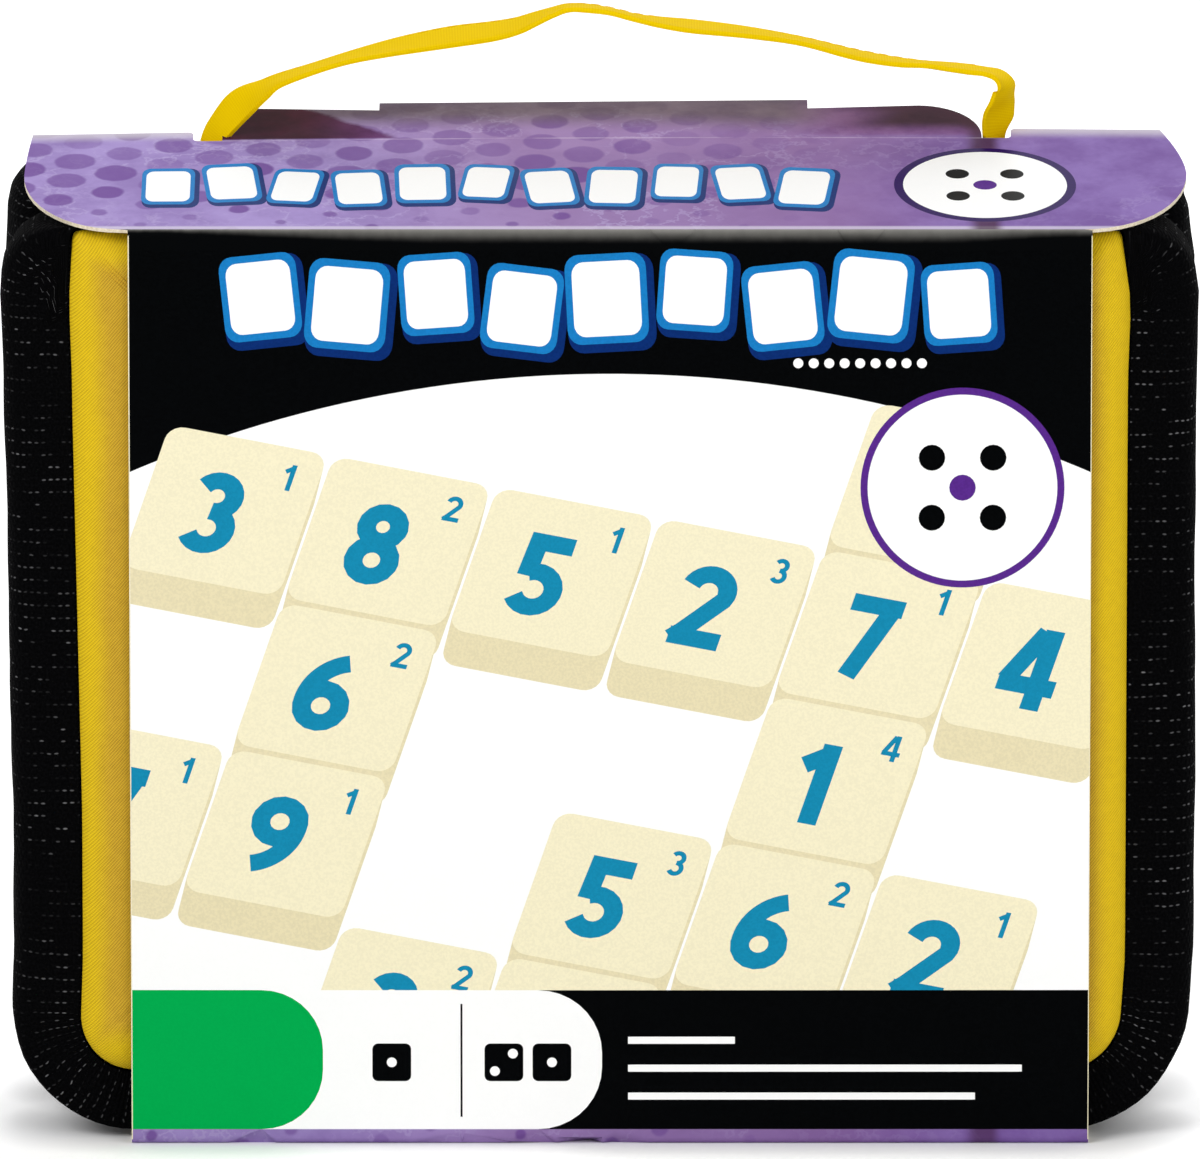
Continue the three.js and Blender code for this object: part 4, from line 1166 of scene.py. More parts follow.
def twill_paint(place):
    """Polyester twill: fine diagonal ribs, a cross thread, a painted highlight round the rim, painted
    shade inside.
    """
    x, y, z = place.axes()
    rib = (x * 0.77 - z * 0.64 + y * 0.3).wave(0.36 * MM) * 0.5 + 0.5
    thread = (x * 0.64 + z * 0.77 + y * 0.4).wave(0.27 * MM) * 0.5 + 0.5
    weave = rib * 0.7 + thread * 0.3
    patch = place.noise(42, 3, 0.55)
    fleck = place.noise(900, 2)
    # Painted highlight of brighter, purer yellow near the panel's edges, and browner painted shade
    # inside.
    rim = (x.size() + (patch - 0.5) * (4 * MM)).step(0.0725, 0.0765)
    rim = rim.most(z.step(0.132, 0.136)).most(1 - z.step(0.014, 0.019))
    low = rim.mix(srgb(160, 122, 24), srgb(188, 152, 8))
    high = rim.mix(srgb(208, 168, 42), srgb(226, 192, 12))
    colour = (weave * 0.7 + fleck * 0.3).step(0.0, 0.8).mix(low, high)
    height = weave * (0.04 * MM) + patch * (0.4 * MM)
    return {"Base Color": colour, "Roughness": 0.66 - weave * 0.1, "Height": height}


yellow_twill = finish(
    "yellow_twill", twill_paint, Sheen_Weight=0.05, Sheen_Roughness=0.5, Specular_IOR_Level=0.15
)

panel_levels = [
    (13, 24.4), (9.5, 24.4), (7, 24.32), (5, 24.14), (3.4, 23.86), (2.1, 23.5), (1.1, 23.05),
    (0.4, 22.5), (0.05, 22.0), (0.1, 21.6), (0.8, 21.6), (1.2, 22.3), (3.6, 23.1), (8, 23.5),
    (13, 23.5),
]
for name, (body, side, seam_top) in zip(("front_panel", "back_panel"), HALVES):
    grid = pad_grid(side, seam_top, panel_levels, 0.35, 0.22, 1.5)
    panel = surface(name + "_twill", grid, [yellow_twill], caps=True)
    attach(panel, body)
    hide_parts(name)


# Gussets. Coarse black polypropylene webbing that goes round the edge of the case, bulging between
# the panel seam and the zip. Its outer face shows the floats of the weave, with painted pale glints.
GUSSET_THICKNESS = 1.3
BULGE_DEPTH, SEAM_DEPTH = 13.3, 22.2
VALLEY_INSET = 4.0
ZIP_TOP = 139.5
TOP_CORNER, BOTTOM_CORNER = 9.0, 19.0
WEBBING_CORNER = 7.6
FOOT_BULGE, FOOT_SAG = 3.9, 0.8


def gusset_section(zip_edge, bulge_top, seam_top):
    """The webbing's closed section as inset, depth, height of the top and its corner's radius.

    From seam to bulge it is a quarter of a squarish oval, and from bulge to zip edge a quarter
    ellipse that dips by VALLEY_INSET. It then runs back inside, a wall's thickness away.
    """
    arc = np.linspace(0, math.pi / 2, 15)
    sine, cosine = np.sin(arc) ** 0.55, np.cos(arc) ** 0.55
    dip, run = 1 - np.cos(arc[1:]), np.sin(arc[1:])
    walls = []
    for wall in (0.0, GUSSET_THICKNESS):
        to_bulge = [
            wall + (10 - wall) * (1 - sine),
            BULGE_DEPTH + (SEAM_DEPTH - wall * 0.6 - BULGE_DEPTH) * cosine,
            seam_top + (bulge_top - seam_top) * sine - wall * sine,
            SEAM_CORNER + (WEBBING_CORNER - wall - SEAM_CORNER) * sine,
        ]
        to_zip = [
            wall + VALLEY_INSET * dip,
            BULGE_DEPTH + (zip_edge - BULGE_DEPTH) * run,
            bulge_top + (ZIP_TOP - bulge_top) * dip - wall,
            WEBBING_CORNER + (TOP_CORNER - WEBBING_CORNER) * dip - (wall + VALLEY_INSET * dip) / 2,
        ]
        walls.append(np.concatenate([to_bulge, to_zip], 1).T)
    return np.concatenate([walls[0], walls[1][::-1]]).T


def angles_round(count):
    """An angle for each of a ring's points, once round."""
    return np.arange(count) / count * 2 * math.pi


def gusset_grid(side, zip_edge, bulge_top, seam_top, seed):
    """The webbing's section carried round the case, rippled where it bulges.

    The lid half's foot is pushed forwards and down by the weight of what the case holds.
    """
    inset, depth, top, radius = gusset_section(side * zip_edge, bulge_top, seam_top)
    low = CASE_FLOOR + inset - SEAM_SAG * part_way(inset, 0, 10) * (depth > BULGE_DEPTH)
    rings = case_rings(CASE_HALF - inset, top, low, radius, BOTTOM_CORNER - inset)
    around = angles_round(rings.shape[1])
    ripple = 0.5 + 0.5 * np.sin(9 * around + seed) * np.sin(4 * around + 2 * seed)
    fine = 0.5 + 0.5 * np.sin(31 * around + 3 * seed) * np.sin(depth[:, None] * 0.7)
    pushed_in = hump(depth, BULGE_DEPTH, 6.0)[:, None] * (0.35 * ripple + 0.2 * fine - 0.4)
    rings = rings + unit(np.array([0, 70.0]) - rings) * pushed_in[..., None]
    rings[..., 0] += settled(rings[..., 0], rings[..., 1]) * part_way(depth, 6, 13)[:, None]
    depths = np.repeat(depth[:, None], len(around), 1)
    if side < 0:
        foot = part_way(rings[..., 1], 26, 8) * np.sin(part_way(depths, 9, SEAM_DEPTH) * math.pi)
        depths = depths + FOOT_BULGE * foot
        rings[..., 1] -= FOOT_SAG * foot
    return np.stack([rings[..., 0], side * depths, rings[..., 1]], -1)


def gusset_uv(grid):
    """Lengths in metres round the case and across the band, for a grid closed both ways.

    Round the case is the place of the nearest point on the widest ring, so that rows stay level.
    """
    full = np.concatenate([grid, grid[:1]])
    full = np.concatenate([full, full[:, :1]], 1)
    widest = full[np.ptp(grid[..., 0], 1).argmax()][:, ::2]
    along = lengths_along(widest)
    places = np.linspace(0, along[-1], 3000)
    dense = points_at(places, along, widest)
    gaps = ((full[:, :, None, ::2] - dense) ** 2).sum(-1)
    around = places[gaps.argmin(2)]
    around += along[-1] * np.round((along - around) / along[-1])
    steps = np.linalg.norm(np.diff(full, axis=0), axis=2)
    across = np.concatenate([np.zeros((1, full.shape[1])), np.cumsum(steps, 0)])
    return np.stack([around, across], -1) * MM


def webbing_paint(place):
    """Basket weave on the piece's own map: floats in staggered rows, a few with painted pale glints."""
    u, v, _ = place.axes()
    row_pitch, float_pitch = 0.95 * MM, 1.1 * MM
    rows = u * (1 / row_pitch)
    odd = (rows.floor() * 0.5).fraction() * 2
    floats = v * (1 / float_pitch) + odd * 0.5
    along = (rows.fraction() - 0.5).size()
    across = (floats.fraction() - 0.5).size()
    chance = rows.floor().chance(floats.floor())
    bump = 1 - (along * along * 3.2 + across * across * 2.4).root()
    patch = place.noise(70, 3, 0.6)
    # Painted highlight: pale glints on some floats of odd rows, in patches.
    spark = 1 - (along * along * 34 + across * across * 8).root().step(0.45, 1.1)
    glint = spark * (chance.step(0.3, 1.0) * odd) * patch.step(0.38, 0.66)
    fibre = place.noise(2600, 2)
    base = fibre.step(0.3, 0.8).mix((0.0006, 0.0006, 0.0008), (0.0026, 0.0026, 0.003))
    colour = glint.mix(base, (0.15, 0.15, 0.155))
    height = bump * (0.22 * MM) + fibre * (0.03 * MM)
    return {"Base Color": colour, "Roughness": 0.9 - glint * 0.25, "Height": height}


black_webbing = finish("black_webbing", webbing_paint, uv=True, Specular_IOR_Level=0.02)
gusset_bands = (("front_gusset", -5.0, 139.3, 0.4), ("rear_gusset", 3.0, 143.3, 1.9))
for (name, zip_edge, bulge_top, seed), (body, side, seam_top) in zip(gusset_bands, HALVES):
    grid = gusset_grid(side, zip_edge, bulge_top, seam_top, seed)
    gusset = surface(name + "_webbing", grid, [black_webbing], wrap=(True, True), uv=gusset_uv(grid))
    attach(gusset, body)
    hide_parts(name)


# Seam bindings. A folded black tape sewn over the raw edges of gusset and panel inside each half,
# with one row of stitches down its middle.
BINDING_DEPTH, BINDING_THICKNESS = 19.7, 0.8
BINDING_OUTER, BINDING_MIDDLE, BINDING_INNER = -0.5, 1.4, 3.4


def tape_paint(place):
    """Narrow woven tape: a herringbone across its width."""
    u, v, _ = place.axes()
    zigzag = ((v * (1 / (1.6 * MM))).fraction() - 0.5).size() * (1.4 * MM)
    rib = (u + zigzag).wave(0.7 * MM) * 0.5 + 0.5
    fibre = place.noise(1800, 2)
    shade = (rib * 0.6 + fibre * 0.4).step(0.2, 0.9)
    colour = shade.mix((0.003, 0.003, 0.0034), (0.022, 0.022, 0.024))
    height = rib * (0.08 * MM) + fibre * (0.02 * MM)
    return {"Base Color": colour, "Roughness": 0.8 - rib * 0.12, "Height": height}


black_tape = finish("black_tape", tape_paint, uv=True, Specular_IOR_Level=0.2)


def thread_paint(place):
    """Sewing thread: two plies that catch the light in turn."""
    ply = place.noise(2400, 2)
    colour = ply.step(0.3, 0.7).mix(srgb(30, 30, 32), srgb(74, 74, 78))
    return {"Base Color": colour, "Roughness": ply * 0.2 + 0.5}


black_thread = finish("black_thread", thread_paint)


def six_sided_bars(corners):
    """Points and faces of many bars with pointed ends. Each is five rings of six points.

    corners holds a bar's thirty points in turn, each as an array with a row for every bar.
    """
    shape = np.stack(corners, 1)
    sides = [(ring + k, ring + (k + 1) % 6) for ring in range(0, 24, 6) for k in range(6)]
    quads = np.array([(a, b, b + 6, a + 6) for a, b in sides])
    ends = np.array([range(5, -1, -1), range(24, 30)])
    first = np.arange(len(shape))[:, None, None] * 30
    faces = (quads + first).reshape(-1, 4).tolist() + (ends + first).reshape(-1, 6).tolist()
    return shape.reshape(-1, 3), faces


def stitch_row(points, normals, length, thickness):
    """Points and faces of a row of stitches, one on each point, that lie along the row."""
    along = unit(np.gradient(points, axis=0))
    across = np.cross(normals, along)
    rings = ((-0.5, 0.25, 0.0), (-0.42, 0.8, 0.7), (0, 1.0, 1.0), (0.42, 0.8, 0.7), (0.5, 0.25, 0.0))
    corners = []
    for share, swell, lift in rings:
        middle = points + along * share * length + normals * (lift * thickness * 0.35)
        for angle in angles_round(6):
            offset = across * math.cos(angle) + normals * math.sin(angle) * 0.8
            corners.append(middle + offset * swell * thickness / 2)
    return six_sided_bars(corners)


def evenly(line, pitch):
    """Points spaced evenly on a line."""
    along = lengths_along(line)
    count = max(2, round(along[-1] / pitch))
    return points_at((np.arange(count) + 0.5) * along[-1] / count, along, line)


binding_section = [
    (BINDING_OUTER, 0), (BINDING_OUTER + 0.15, 0.62), (BINDING_OUTER + 0.5, BINDING_THICKNESS),
    (BINDING_MIDDLE, BINDING_THICKNESS * 0.92), (BINDING_INNER - 0.5, BINDING_THICKNESS),
    (BINDING_INNER - 0.15, 0.62), (BINDING_INNER, 0.1), (BINDING_INNER - 0.4, 0.0),
    (BINDING_MIDDLE, 0.0),
]
for name, (body, side, seam_top) in zip(("front_seam_binding", "rear_seam_binding"), HALVES):
    inward, lift = np.array(binding_section).T
    rings = panel_rings(seam_top - INSIDE_DROP, inward)
    depth = np.repeat(BINDING_DEPTH - lift[:, None], rings.shape[1], 1)
    grid = np.stack([rings[..., 0], side * depth, rings[..., 1]], -1)
    binding = surface(name + "_tape", grid, [black_tape], wrap=(True, True))
    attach(binding, body)
    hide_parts(name)
    x, z = panel_rings(seam_top - INSIDE_DROP, [BINDING_MIDDLE])[0].T
    line = np.stack([x, np.full(len(x), side * (BINDING_DEPTH - BINDING_THICKNESS)), z], 1)
    places = evenly(np.concatenate([line, line[:1]]), 3.2)
    outwards = np.repeat([[0.0, -side, 0.0]], len(places), 0)
    points, faces = stitch_row(places, outwards, 2.3, 0.42)
    stitches = new_piece(name + "_stitches", points * MM, faces, [black_thread])
    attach(stitches, body)


# Foam pads. Closed-cell sheet, cut with a hot wire, that gives each panel its body. It is held
# between the twill and the lining.
def foam_paint(place):
    """Off-white foam: small closed cells."""
    inputs = {"Vector": place, "Scale": 1500.0}
    cell = place.node("TexVoronoi", {"feature": "DISTANCE_TO_EDGE"}, inputs)
    wall = 1 - cell.step(0.0, 0.12)
    colour = wall.mix(srgb(232, 229, 220), srgb(206, 202, 190))
    return {"Base Color": colour, "Roughness": wall * 0.1 + 0.82, "Height": cell * (0.2 * MM)}


foam = finish("closed_cell_foam", foam_paint)
foam_levels = [
    (14, 22.9), (9.4, 22.9), (6.5, 22.85), (4.6, 22.6),
    (4, 22.2), (3.8, 21.4), (4.2, 20.9), (14, 20.85),
]
for name, (body, side, seam_top) in zip(("front_foam", "back_foam"), HALVES):
    grid = pad_grid(side, seam_top, foam_levels, 0.2, 0, 1.5)
    pad = surface(name + "_pad", grid, [foam], caps=True)
    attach(pad, body)
    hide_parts(name)


# Linings. Thin grey polyester cloth over the foam, on the inside of each half. It is sewn in with
# the panel all round, so it lies nearly flat.
def lining_paint(place):
    """Plain weave in grey polyester, with a thicker thread each way every 5 mm."""
    x, _, z = place.axes()
    weave = (x.wave(0.34 * MM) * z.wave(0.34 * MM)) * 0.5 + 0.5
    stop = ((x * 200).fraction() < 0.09).most((z * 200).fraction() < 0.09)
    patch = place.noise(30, 3)
    shade = (weave * 0.6 + patch * 0.4).step(0.15, 0.85)
    base = shade.mix(srgb(118, 116, 112), srgb(150, 148, 143))
    colour = (stop * 0.35).mix(base, srgb(168, 166, 160))
    height = weave * (0.03 * MM) + stop * (0.05 * MM)
    return {"Base Color": colour, "Roughness": 0.62 - stop * 0.1, "Height": height}


lining = finish("grey_lining", lining_paint, Sheen_Weight=0.1, Specular_IOR_Level=0.35)
lining_levels = [
    (13, 20.15), (6, 20.1), (2.5, 20.05), (0.6, 20.02),
    (0.35, 20.2), (0.6, 20.45), (6, 20.5), (13, 20.5),
]
for name, (body, side, seam_top) in zip(("front_lining", "back_lining"), HALVES):
    grid = pad_grid(side, seam_top - INSIDE_DROP, lining_levels, 0, 0)
    sheet = surface(name + "_cloth", grid, [lining], caps=True)
    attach(sheet, body)
    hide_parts(name)
    cut_height = seam_top - INSIDE_DROP - CASE_FLOOR - SEAM_INSET + SEAM_SAG
    cut = (2 * (CASE_HALF - SEAM_INSET) * MM, cut_height * MM)


# Zip tapes and coils. Each half of the zip is a woven tape sewn inside the gusset's edge, with a
# nylon coil along it. They run from the stops at the spine along the top, the right and the bottom.
ZIP_START = -70.0
TAPE_INSET, COIL_INSET = 6.05, 4.95
TOOTH_PITCH = 1.2


def zip_line(inset, start=ZIP_START, step=1.0):
    """Points along the zip in x and z, from the top left round the right side to the bottom left."""
    top, bottom, right = ZIP_TOP + VALLEY_INSET - inset, CASE_FLOOR + inset, CASE_HALF - inset
    corners = [(start, top), (right, top), (right, bottom), (start, bottom)]
    points, along, _ = bent_path(corners, [TOP_CORNER - inset / 2, BOTTOM_CORNER - inset], 16)
    count = int(along[-1] / step) + 1
    return points_at(np.linspace(0, along[-1], count), along, points)


def line_frames(line):
    """Unit vectors along a line in x and z, and out from the middle of the case."""
    along = unit(np.gradient(line, axis=0))
    return along, square_to(along)


def band(line, section):
    """A closed section of (outward, y) carried along a line in x and z. Shape (n, m, 3)."""
    _, outward = line_frames(line)
    section = np.array(section)
    flat = line[:, None] + outward[:, None] * section[None, :, :1]
    depth = np.repeat(section[None, :, 1], len(line), 0)
    return np.stack([flat[..., 0], depth, flat[..., 1]], -1)


def tape_section(low, high, half, count=7):
    """A flat section from one y to the other, `half` thick each way from its middle."""
    y = np.linspace(low, high, count)
    top = np.stack([np.full(count, half), y], 1)
    return np.concatenate([top, top[::-1] * [-1, 1]])


for name, body, low, high in (
    ("front_zip_tape", "lid_half", -8.0, -1.9),
    ("rear_zip_tape", "rear_half", -0.1, 6.0),
):
    grid = band(zip_line(TAPE_INSET), tape_section(low, high, 0.22))
    tape = surface(name + "_weave", grid, [black_tape], caps=True)
    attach(tape, body)
    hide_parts(name)


def nylon_paint(place):
    """Black nylon monofilament, glossy, with a little dust in the grooves."""
    dust = place.noise(300, 3)
    colour = dust.step(0.45, 0.75).mix(srgb(20, 20, 22), srgb(38, 38, 40))
    return {"Base Color": colour, "Roughness": dust * 0.2 + 0.25}


nylon = finish("black_nylon", nylon_paint)


def coil_teeth(line, root, tip, shift):
    """Nylon teeth along the zip: each a rounded loop from the tape's edge to a broad head.

    A tooth is one bar from root to tip in y. They repeat every TOOTH_PITCH.
    """
    along, outward = line_frames(line)
    rings = ((0.0, 0.3, 0.42), (0.18, 0.34, 0.52), (0.6, 0.27, 0.5), (0.84, 0.4, 0.55), (1.0, 0.2, 0.3))
    corners = []
    for share, half_along, half_out in rings:
        depth = np.full(len(line), root + (tip - root) * share)
        for angle in angles_round(6):
            flat = line + along * (half_along * math.cos(angle) + shift)
            flat = flat + outward * half_out * math.sin(angle)
            corners.append(np.stack([flat[:, 0], depth, flat[:, 1]], 1))
    return six_sided_bars(corners)


for name, body, start, root, tip, shift in (
    ("front_zip_coil", "lid_half", ZIP_START, -3.1, -0.95, 0.0),
    ("rear_zip_coil", "rear_half", ZIP_START + 3.4, 1.1, -1.15, TOOTH_PITCH / 2),
):
    line = zip_line(COIL_INSET, ZIP_START + 0.6, TOOTH_PITCH)
    points, faces = coil_teeth(line[line[:, 0] > start], root, tip, shift)
    coil = new_piece(name + "_teeth", points * MM, faces, [nylon])
    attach(coil, body)
    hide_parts(name)


# Zip stops, sliders and pulls. Die-cast zinc with black paint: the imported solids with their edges
# rounded off, as casting and tumbling leave them.
def zinc_paint(place):
    """Black paint on die-cast zinc, rubbed through to the metal in small specks."""
    grain = place.noise(1500, 3, 0.6)
    wear = place.noise(420, 4, 0.7).step(0.62, 0.72)
    paint = grain.step(0.2, 0.8).mix(srgb(22, 22, 24), srgb(40, 40, 43))
    colour = wear.mix(paint, srgb(96, 95, 94))
    rough = 0.34 - wear * 0.08 + grain * 0.08
    return {"Base Color": colour, "Roughness": rough, "Height": grain * (0.02 * MM)}


painted_zinc = finish("painted_zinc", zinc_paint, Metallic=0.6)


def rounded_copy(node, material, radius):
    """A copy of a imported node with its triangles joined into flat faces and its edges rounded."""
    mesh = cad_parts[node].data.copy()
    work = bmesh.new()
    work.from_mesh(mesh)
    bmesh.ops.remove_doubles(work, verts=work.verts, dist=1e-6)
    bmesh.ops.dissolve_limit(work, angle_limit=math.radians(3), verts=work.verts, edges=work.edges)
    sharp = [e for e in work.edges if e.is_manifold and e.calc_face_angle(0) > math.radians(25)]
    rounding = {"offset": radius * MM, "segments": 2, "profile": 0.5, "clamp_overlap": True}
    bmesh.ops.bevel(work, geom=sharp, affect="EDGES", **rounding)
    work.to_mesh(mesh)
    work.free()
    mesh.materials.clear()
    mesh.materials.append(material)
    mesh.polygons.foreach_set("use_smooth", np.ones(len(mesh.polygons), bool))
    mesh.set_sharp_from_angle(angle=math.radians(50))
    piece = bpy.data.objects.new(node + "_cast", mesh)
    bpy.context.collection.objects.link(piece)
    return piece


for name, body in (
    ("zip_top_stop", "rear_half"),
    ("zip_bottom_stop", "rear_half"),
    ("upper_slider", "upper_zip_slider"),
    ("lower_slider", "lower_zip_slider"),
    ("upper_pull", "upper_zip_pull"),
    ("lower_pull", "lower_zip_pull"),
):
    casting = rounded_copy(name, painted_zinc, 0.18)
    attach(casting, body)
    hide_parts(name)


# Spine. A strip of the same black webbing down the left side that hinges the lid half on the rear
# half. It is sewn inside both gussets, across the line where the zip's two edges meet.
SPINE_START = -71.3
SPINE_INSET = 6.1


def spine_line():
    """The spine's middle line in x and z, from the top left round the left side to the bottom."""
    mirrored = zip_line(SPINE_INSET, SPINE_START) * [-1, 1]
    left = mirrored[mirrored[:, 0] < SPINE_START]
    top, bottom = mirrored[:, 1].max(), mirrored[:, 1].min()
    return np.concatenate([[(SPINE_START, top)], left, [(SPINE_START, bottom)]])


spine_section = tape_section(-8.8, 5.5, 0.32, 25)
spine = surface("spine_strip_webbing", band(spine_line(), spine_section), [black_webbing], caps=True)
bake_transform(spine)
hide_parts("spine_strip")


# Carrying strap. One yellow twill ribbon, folded double and stitched along its edges. It springs
# up through the card's notches, twists edge-on at its crown, and drops sharply at the right end.
STRAP_DEPTH = 13.0
STRAP_THICKNESS = 0.8
STRAP_STEPS = 190
STITCH_EDGE = 0.84

# x and height of the middle line, the width seen from the front, and the ribbon's own width
strap_stations = [
    (-58.5, 144.8, 4.0, 4.8), (-57.3, 147.4, 4.7, 5.6), (-55.3, 150.0, 5.2, 6.4),
    (-53.2, 151.9, 4.7, 7.0), (-50.6, 153.6, 3.6, 7.6), (-48.2, 155.0, 2.7, 8), (-43.4, 156.6, 2.2, 8),
    (-38.1, 158.2, 2.3, 8), (-32.5, 159.6, 2.9, 8), (-27.7, 160.7, 3.4, 8), (-22.0, 161.8, 3.7, 8),
    (-16.2, 162.6, 3.5, 8), (-12.5, 163.3, 3.1, 8), (-9.8, 164.2, 2.6, 8), (-7.1, 165.2, 2.0, 8),
    (-4.6, 166.0, 1.7, 8), (-1.4, 166.0, 1.7, 8), (1.7, 165.6, 1.5, 8), (5.5, 164.6, 1.6, 8),
    (9.3, 163.8, 2.1, 8), (14.0, 163.1, 2.5, 8), (22.0, 162.2, 2.2, 8), (30.0, 161.0, 1.8, 8),
    (37.1, 159.3, 2.0, 8), (41.0, 158.5, 2.0, 8), (45.2, 157.8, 1.8, 8), (48.7, 157.4, 1.5, 8),
    (51.6, 157.0, 1.7, 8), (55.2, 156.6, 1.9, 8), (57.6, 156.3, 2.0, 8), (59.8, 155.6, 2.5, 8),
    (61.0, 154.1, 3.6, 7.8), (60.6, 152.1, 4.8, 7.4), (59.9, 150.2, 5.3, 6.8),
    (59.4, 148.4, 4.8, 5.8), (59.2, 146.6, 4.0, 4.8), (59.3, 144.8, 3.6, 4.2),
]


def curve_through(points, count):
    """A smooth curve through points: each piece is the cubic of its two ends and their slopes."""
    points = np.array(points, float)
    slopes = np.gradient(points, axis=0)
    place = np.linspace(0, len(points) - 1, count)
    first = np.minimum(place.astype(int), len(points) - 2)
    t = (place - first)[:, None]
    start, end, leave, arrive = points[first], points[first + 1], slopes[first], slopes[first + 1]
    return (
        start * (2 * t**3 - 3 * t**2 + 1) + end * (3 * t**2 - 2 * t**3)
        + leave * (t**3 - 2 * t**2 + t) + arrive * (t**3 - t**2)
    )


def strap_frame():
    """For each step on the ribbon: its middle, and unit vectors across its width and through it."""
    x, z, seen, width = curve_through(strap_stations, STRAP_STEPS).T
    middle = np.stack([x, np.full_like(x, STRAP_DEPTH), z], 1)
    along = unit(np.gradient(middle, axis=0))
    side = np.stack([-along[:, 2], np.zeros_like(x), along[:, 0]], 1)
    edge_on = np.arcsin(np.clip((seen - STRAP_THICKNESS) / width, 0.03, 0.9))
    turn = (edge_on - VIEW_RISE * np.abs(along[:, 0]))[:, None]
    depth = np.array([[0.0, 1.0, 0.0]])
    wide = depth * np.cos(turn) + side * np.sin(turn)
    through = side * np.cos(turn) - depth * np.sin(turn)
    return middle, wide, through, width


def strap_section(width, thickness):
    """The folded ribbon's section: flat with a round fold in front and two free edges behind."""
    w = np.array([-1, -0.99, -0.93, -0.7, -0.35, 0, 0.35, 0.7, 0.93, 1, 0.98, 0.9, 0.98, 1])
    h = np.array([0, 0.42, 0.5, 0.44, 0.42, 0.42, 0.42, 0.44, 0.5, 0.42, 0.14, 0.0, -0.14, -0.42])
    back = slice(8, 0, -1)
    w, h = np.concatenate([w, w[back]]), np.concatenate([h, -h[back]])
    return width[:, None] / 2 * w[None], thickness * h[None]


middle, wide, through, strap_width = strap_frame()
across, lift = strap_section(strap_width, STRAP_THICKNESS)
station = np.linspace(0, 1, STRAP_STEPS)[:, None]
near_ends = hump(station, 0.06, 0.07) + hump(station, 0.87, 0.09)
crumple = np.sin(station * 74 + across * 0.6) * 0.16 + np.sin(station * 45 - across * 0.8) * 0.14
curl = 0.16 * np.sin(station * 34 + 1.0) * (across / 4) ** 2
lift = lift + near_ends * crumple + curl
grid = middle[:, None] + wide[:, None] * across[..., None] + through[:, None] * lift[..., None]


def ribbon_paint(place):
    """Yellow ribbon: fine ribs across its length and a little hand wear."""
    u, v, _ = place.axes()
    weave = (v.wave(0.42 * MM) * 0.5 + 0.5) * 0.6 + (u.wave(0.5 * MM) * 0.5 + 0.5) * 0.4
    wear = place.noise(90, 4, 0.6)
    base = weave.step(0.1, 0.9).mix(srgb(232, 192, 2), srgb(238, 202, 4))
    colour = (wear.step(0.58, 0.8) * 0.3).mix(base, srgb(190, 150, 24))
    height = weave * (0.006 * MM) + wear * (0.12 * MM)
    return {"Base Color": colour, "Roughness": 0.7 - weave * 0.08, "Height": height}


ribbon = finish("yellow_ribbon", ribbon_paint, uv=True, Specular_IOR_Level=0.012)
strap = surface("carry_strap_ribbon", grid, [ribbon], caps=True)
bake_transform(strap)
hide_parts("carry_strap")


def yellow_thread_paint(place):
    """Yellow sewing thread."""
    ply = place.noise(2400, 2)
    colour = ply.mix(srgb(228, 190, 4), srgb(240, 204, 8))
    return {"Base Color": colour, "Roughness": ply * 0.2 + 0.6}


yellow_thread = finish("yellow_thread", yellow_thread_paint, Specular_IOR_Level=0.15)
# The ribbon's two crumpled ends have no stitches that show
stitched = slice(22, STRAP_STEPS - 40)
for name, face, column in (("rear", 1, 7), ("under", -1, 19)):
    raised = (lift[:, column] + face * 0.02)[:, None]
    line = middle + wide * (STITCH_EDGE * strap_width / 2)[:, None] + through * raised
    line = line[stitched]
    along = lengths_along(line)
    places = np.arange(0.9, along[-1], 2.2)
    facing = points_at(places, along, through[stitched]) * face
    points, faces = stitch_row(points_at(places, along, line), facing, 1.5, 0.14)
    stitches = new_piece(f"carry_strap_stitches_{name}", points * MM, faces, [yellow_thread])
    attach(stitches, "strap")


# Strap tabs. The ribbon's two ends, pressed flat on the rear gusset under the card and held by a
# box of stitches with a cross in it.
TAB_PLACES = (("left_strap_tab", -58.0), ("right_strap_tab", 59.4))
TAB_LOW, TAB_TOP = 143.6, 144.6
TAB_HALF_LENGTH, TAB_HALF_WIDTH, TAB_CORNER = 7.0, 3.2, 1.6

tab_levels = (
    (0.5, TAB_LOW), (0.1, TAB_LOW + 0.2), (0.0, TAB_LOW + 0.6),
    (0.12, TAB_TOP - 0.14), (0.5, TAB_TOP), (1.4, TAB_TOP - 0.06),
)
stitch_box = ((-5.4, -2), (5.4, -2), (5.4, 2), (-5.4, 2), (-5.4, -2), (5.4, 2), (5.4, -2), (-5.4, 2))
for name, x in TAB_PLACES:
    inset, height = np.array(tab_levels).T
    half_width, radius = TAB_HALF_WIDTH - inset, TAB_CORNER - inset
    rings = case_rings(TAB_HALF_LENGTH - inset, half_width, -half_width, radius, radius)
    heights = np.repeat(height[:, None], rings.shape[1], 1)
    grid = np.stack([rings[..., 0] + x, rings[..., 1] + STRAP_DEPTH, heights], -1)
    tab = surface(name + "_ribbon", grid, [ribbon], caps=True)
    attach(tab, "rear_half")
    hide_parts(name)
    across, depth = (np.array(stitch_box) + (x, STRAP_DEPTH)).T
    spots = evenly(np.stack([across, depth, np.full(len(across), TAB_TOP - 0.05)], 1), 1.5)
    points, faces = stitch_row(spots, np.repeat([[0.0, 0.0, 1.0]], len(spots), 0), 1.15, 0.3)
    stitches = new_piece(name + "_stitches", points * MM, faces, [yellow_thread])
    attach(stitches, "rear_half")


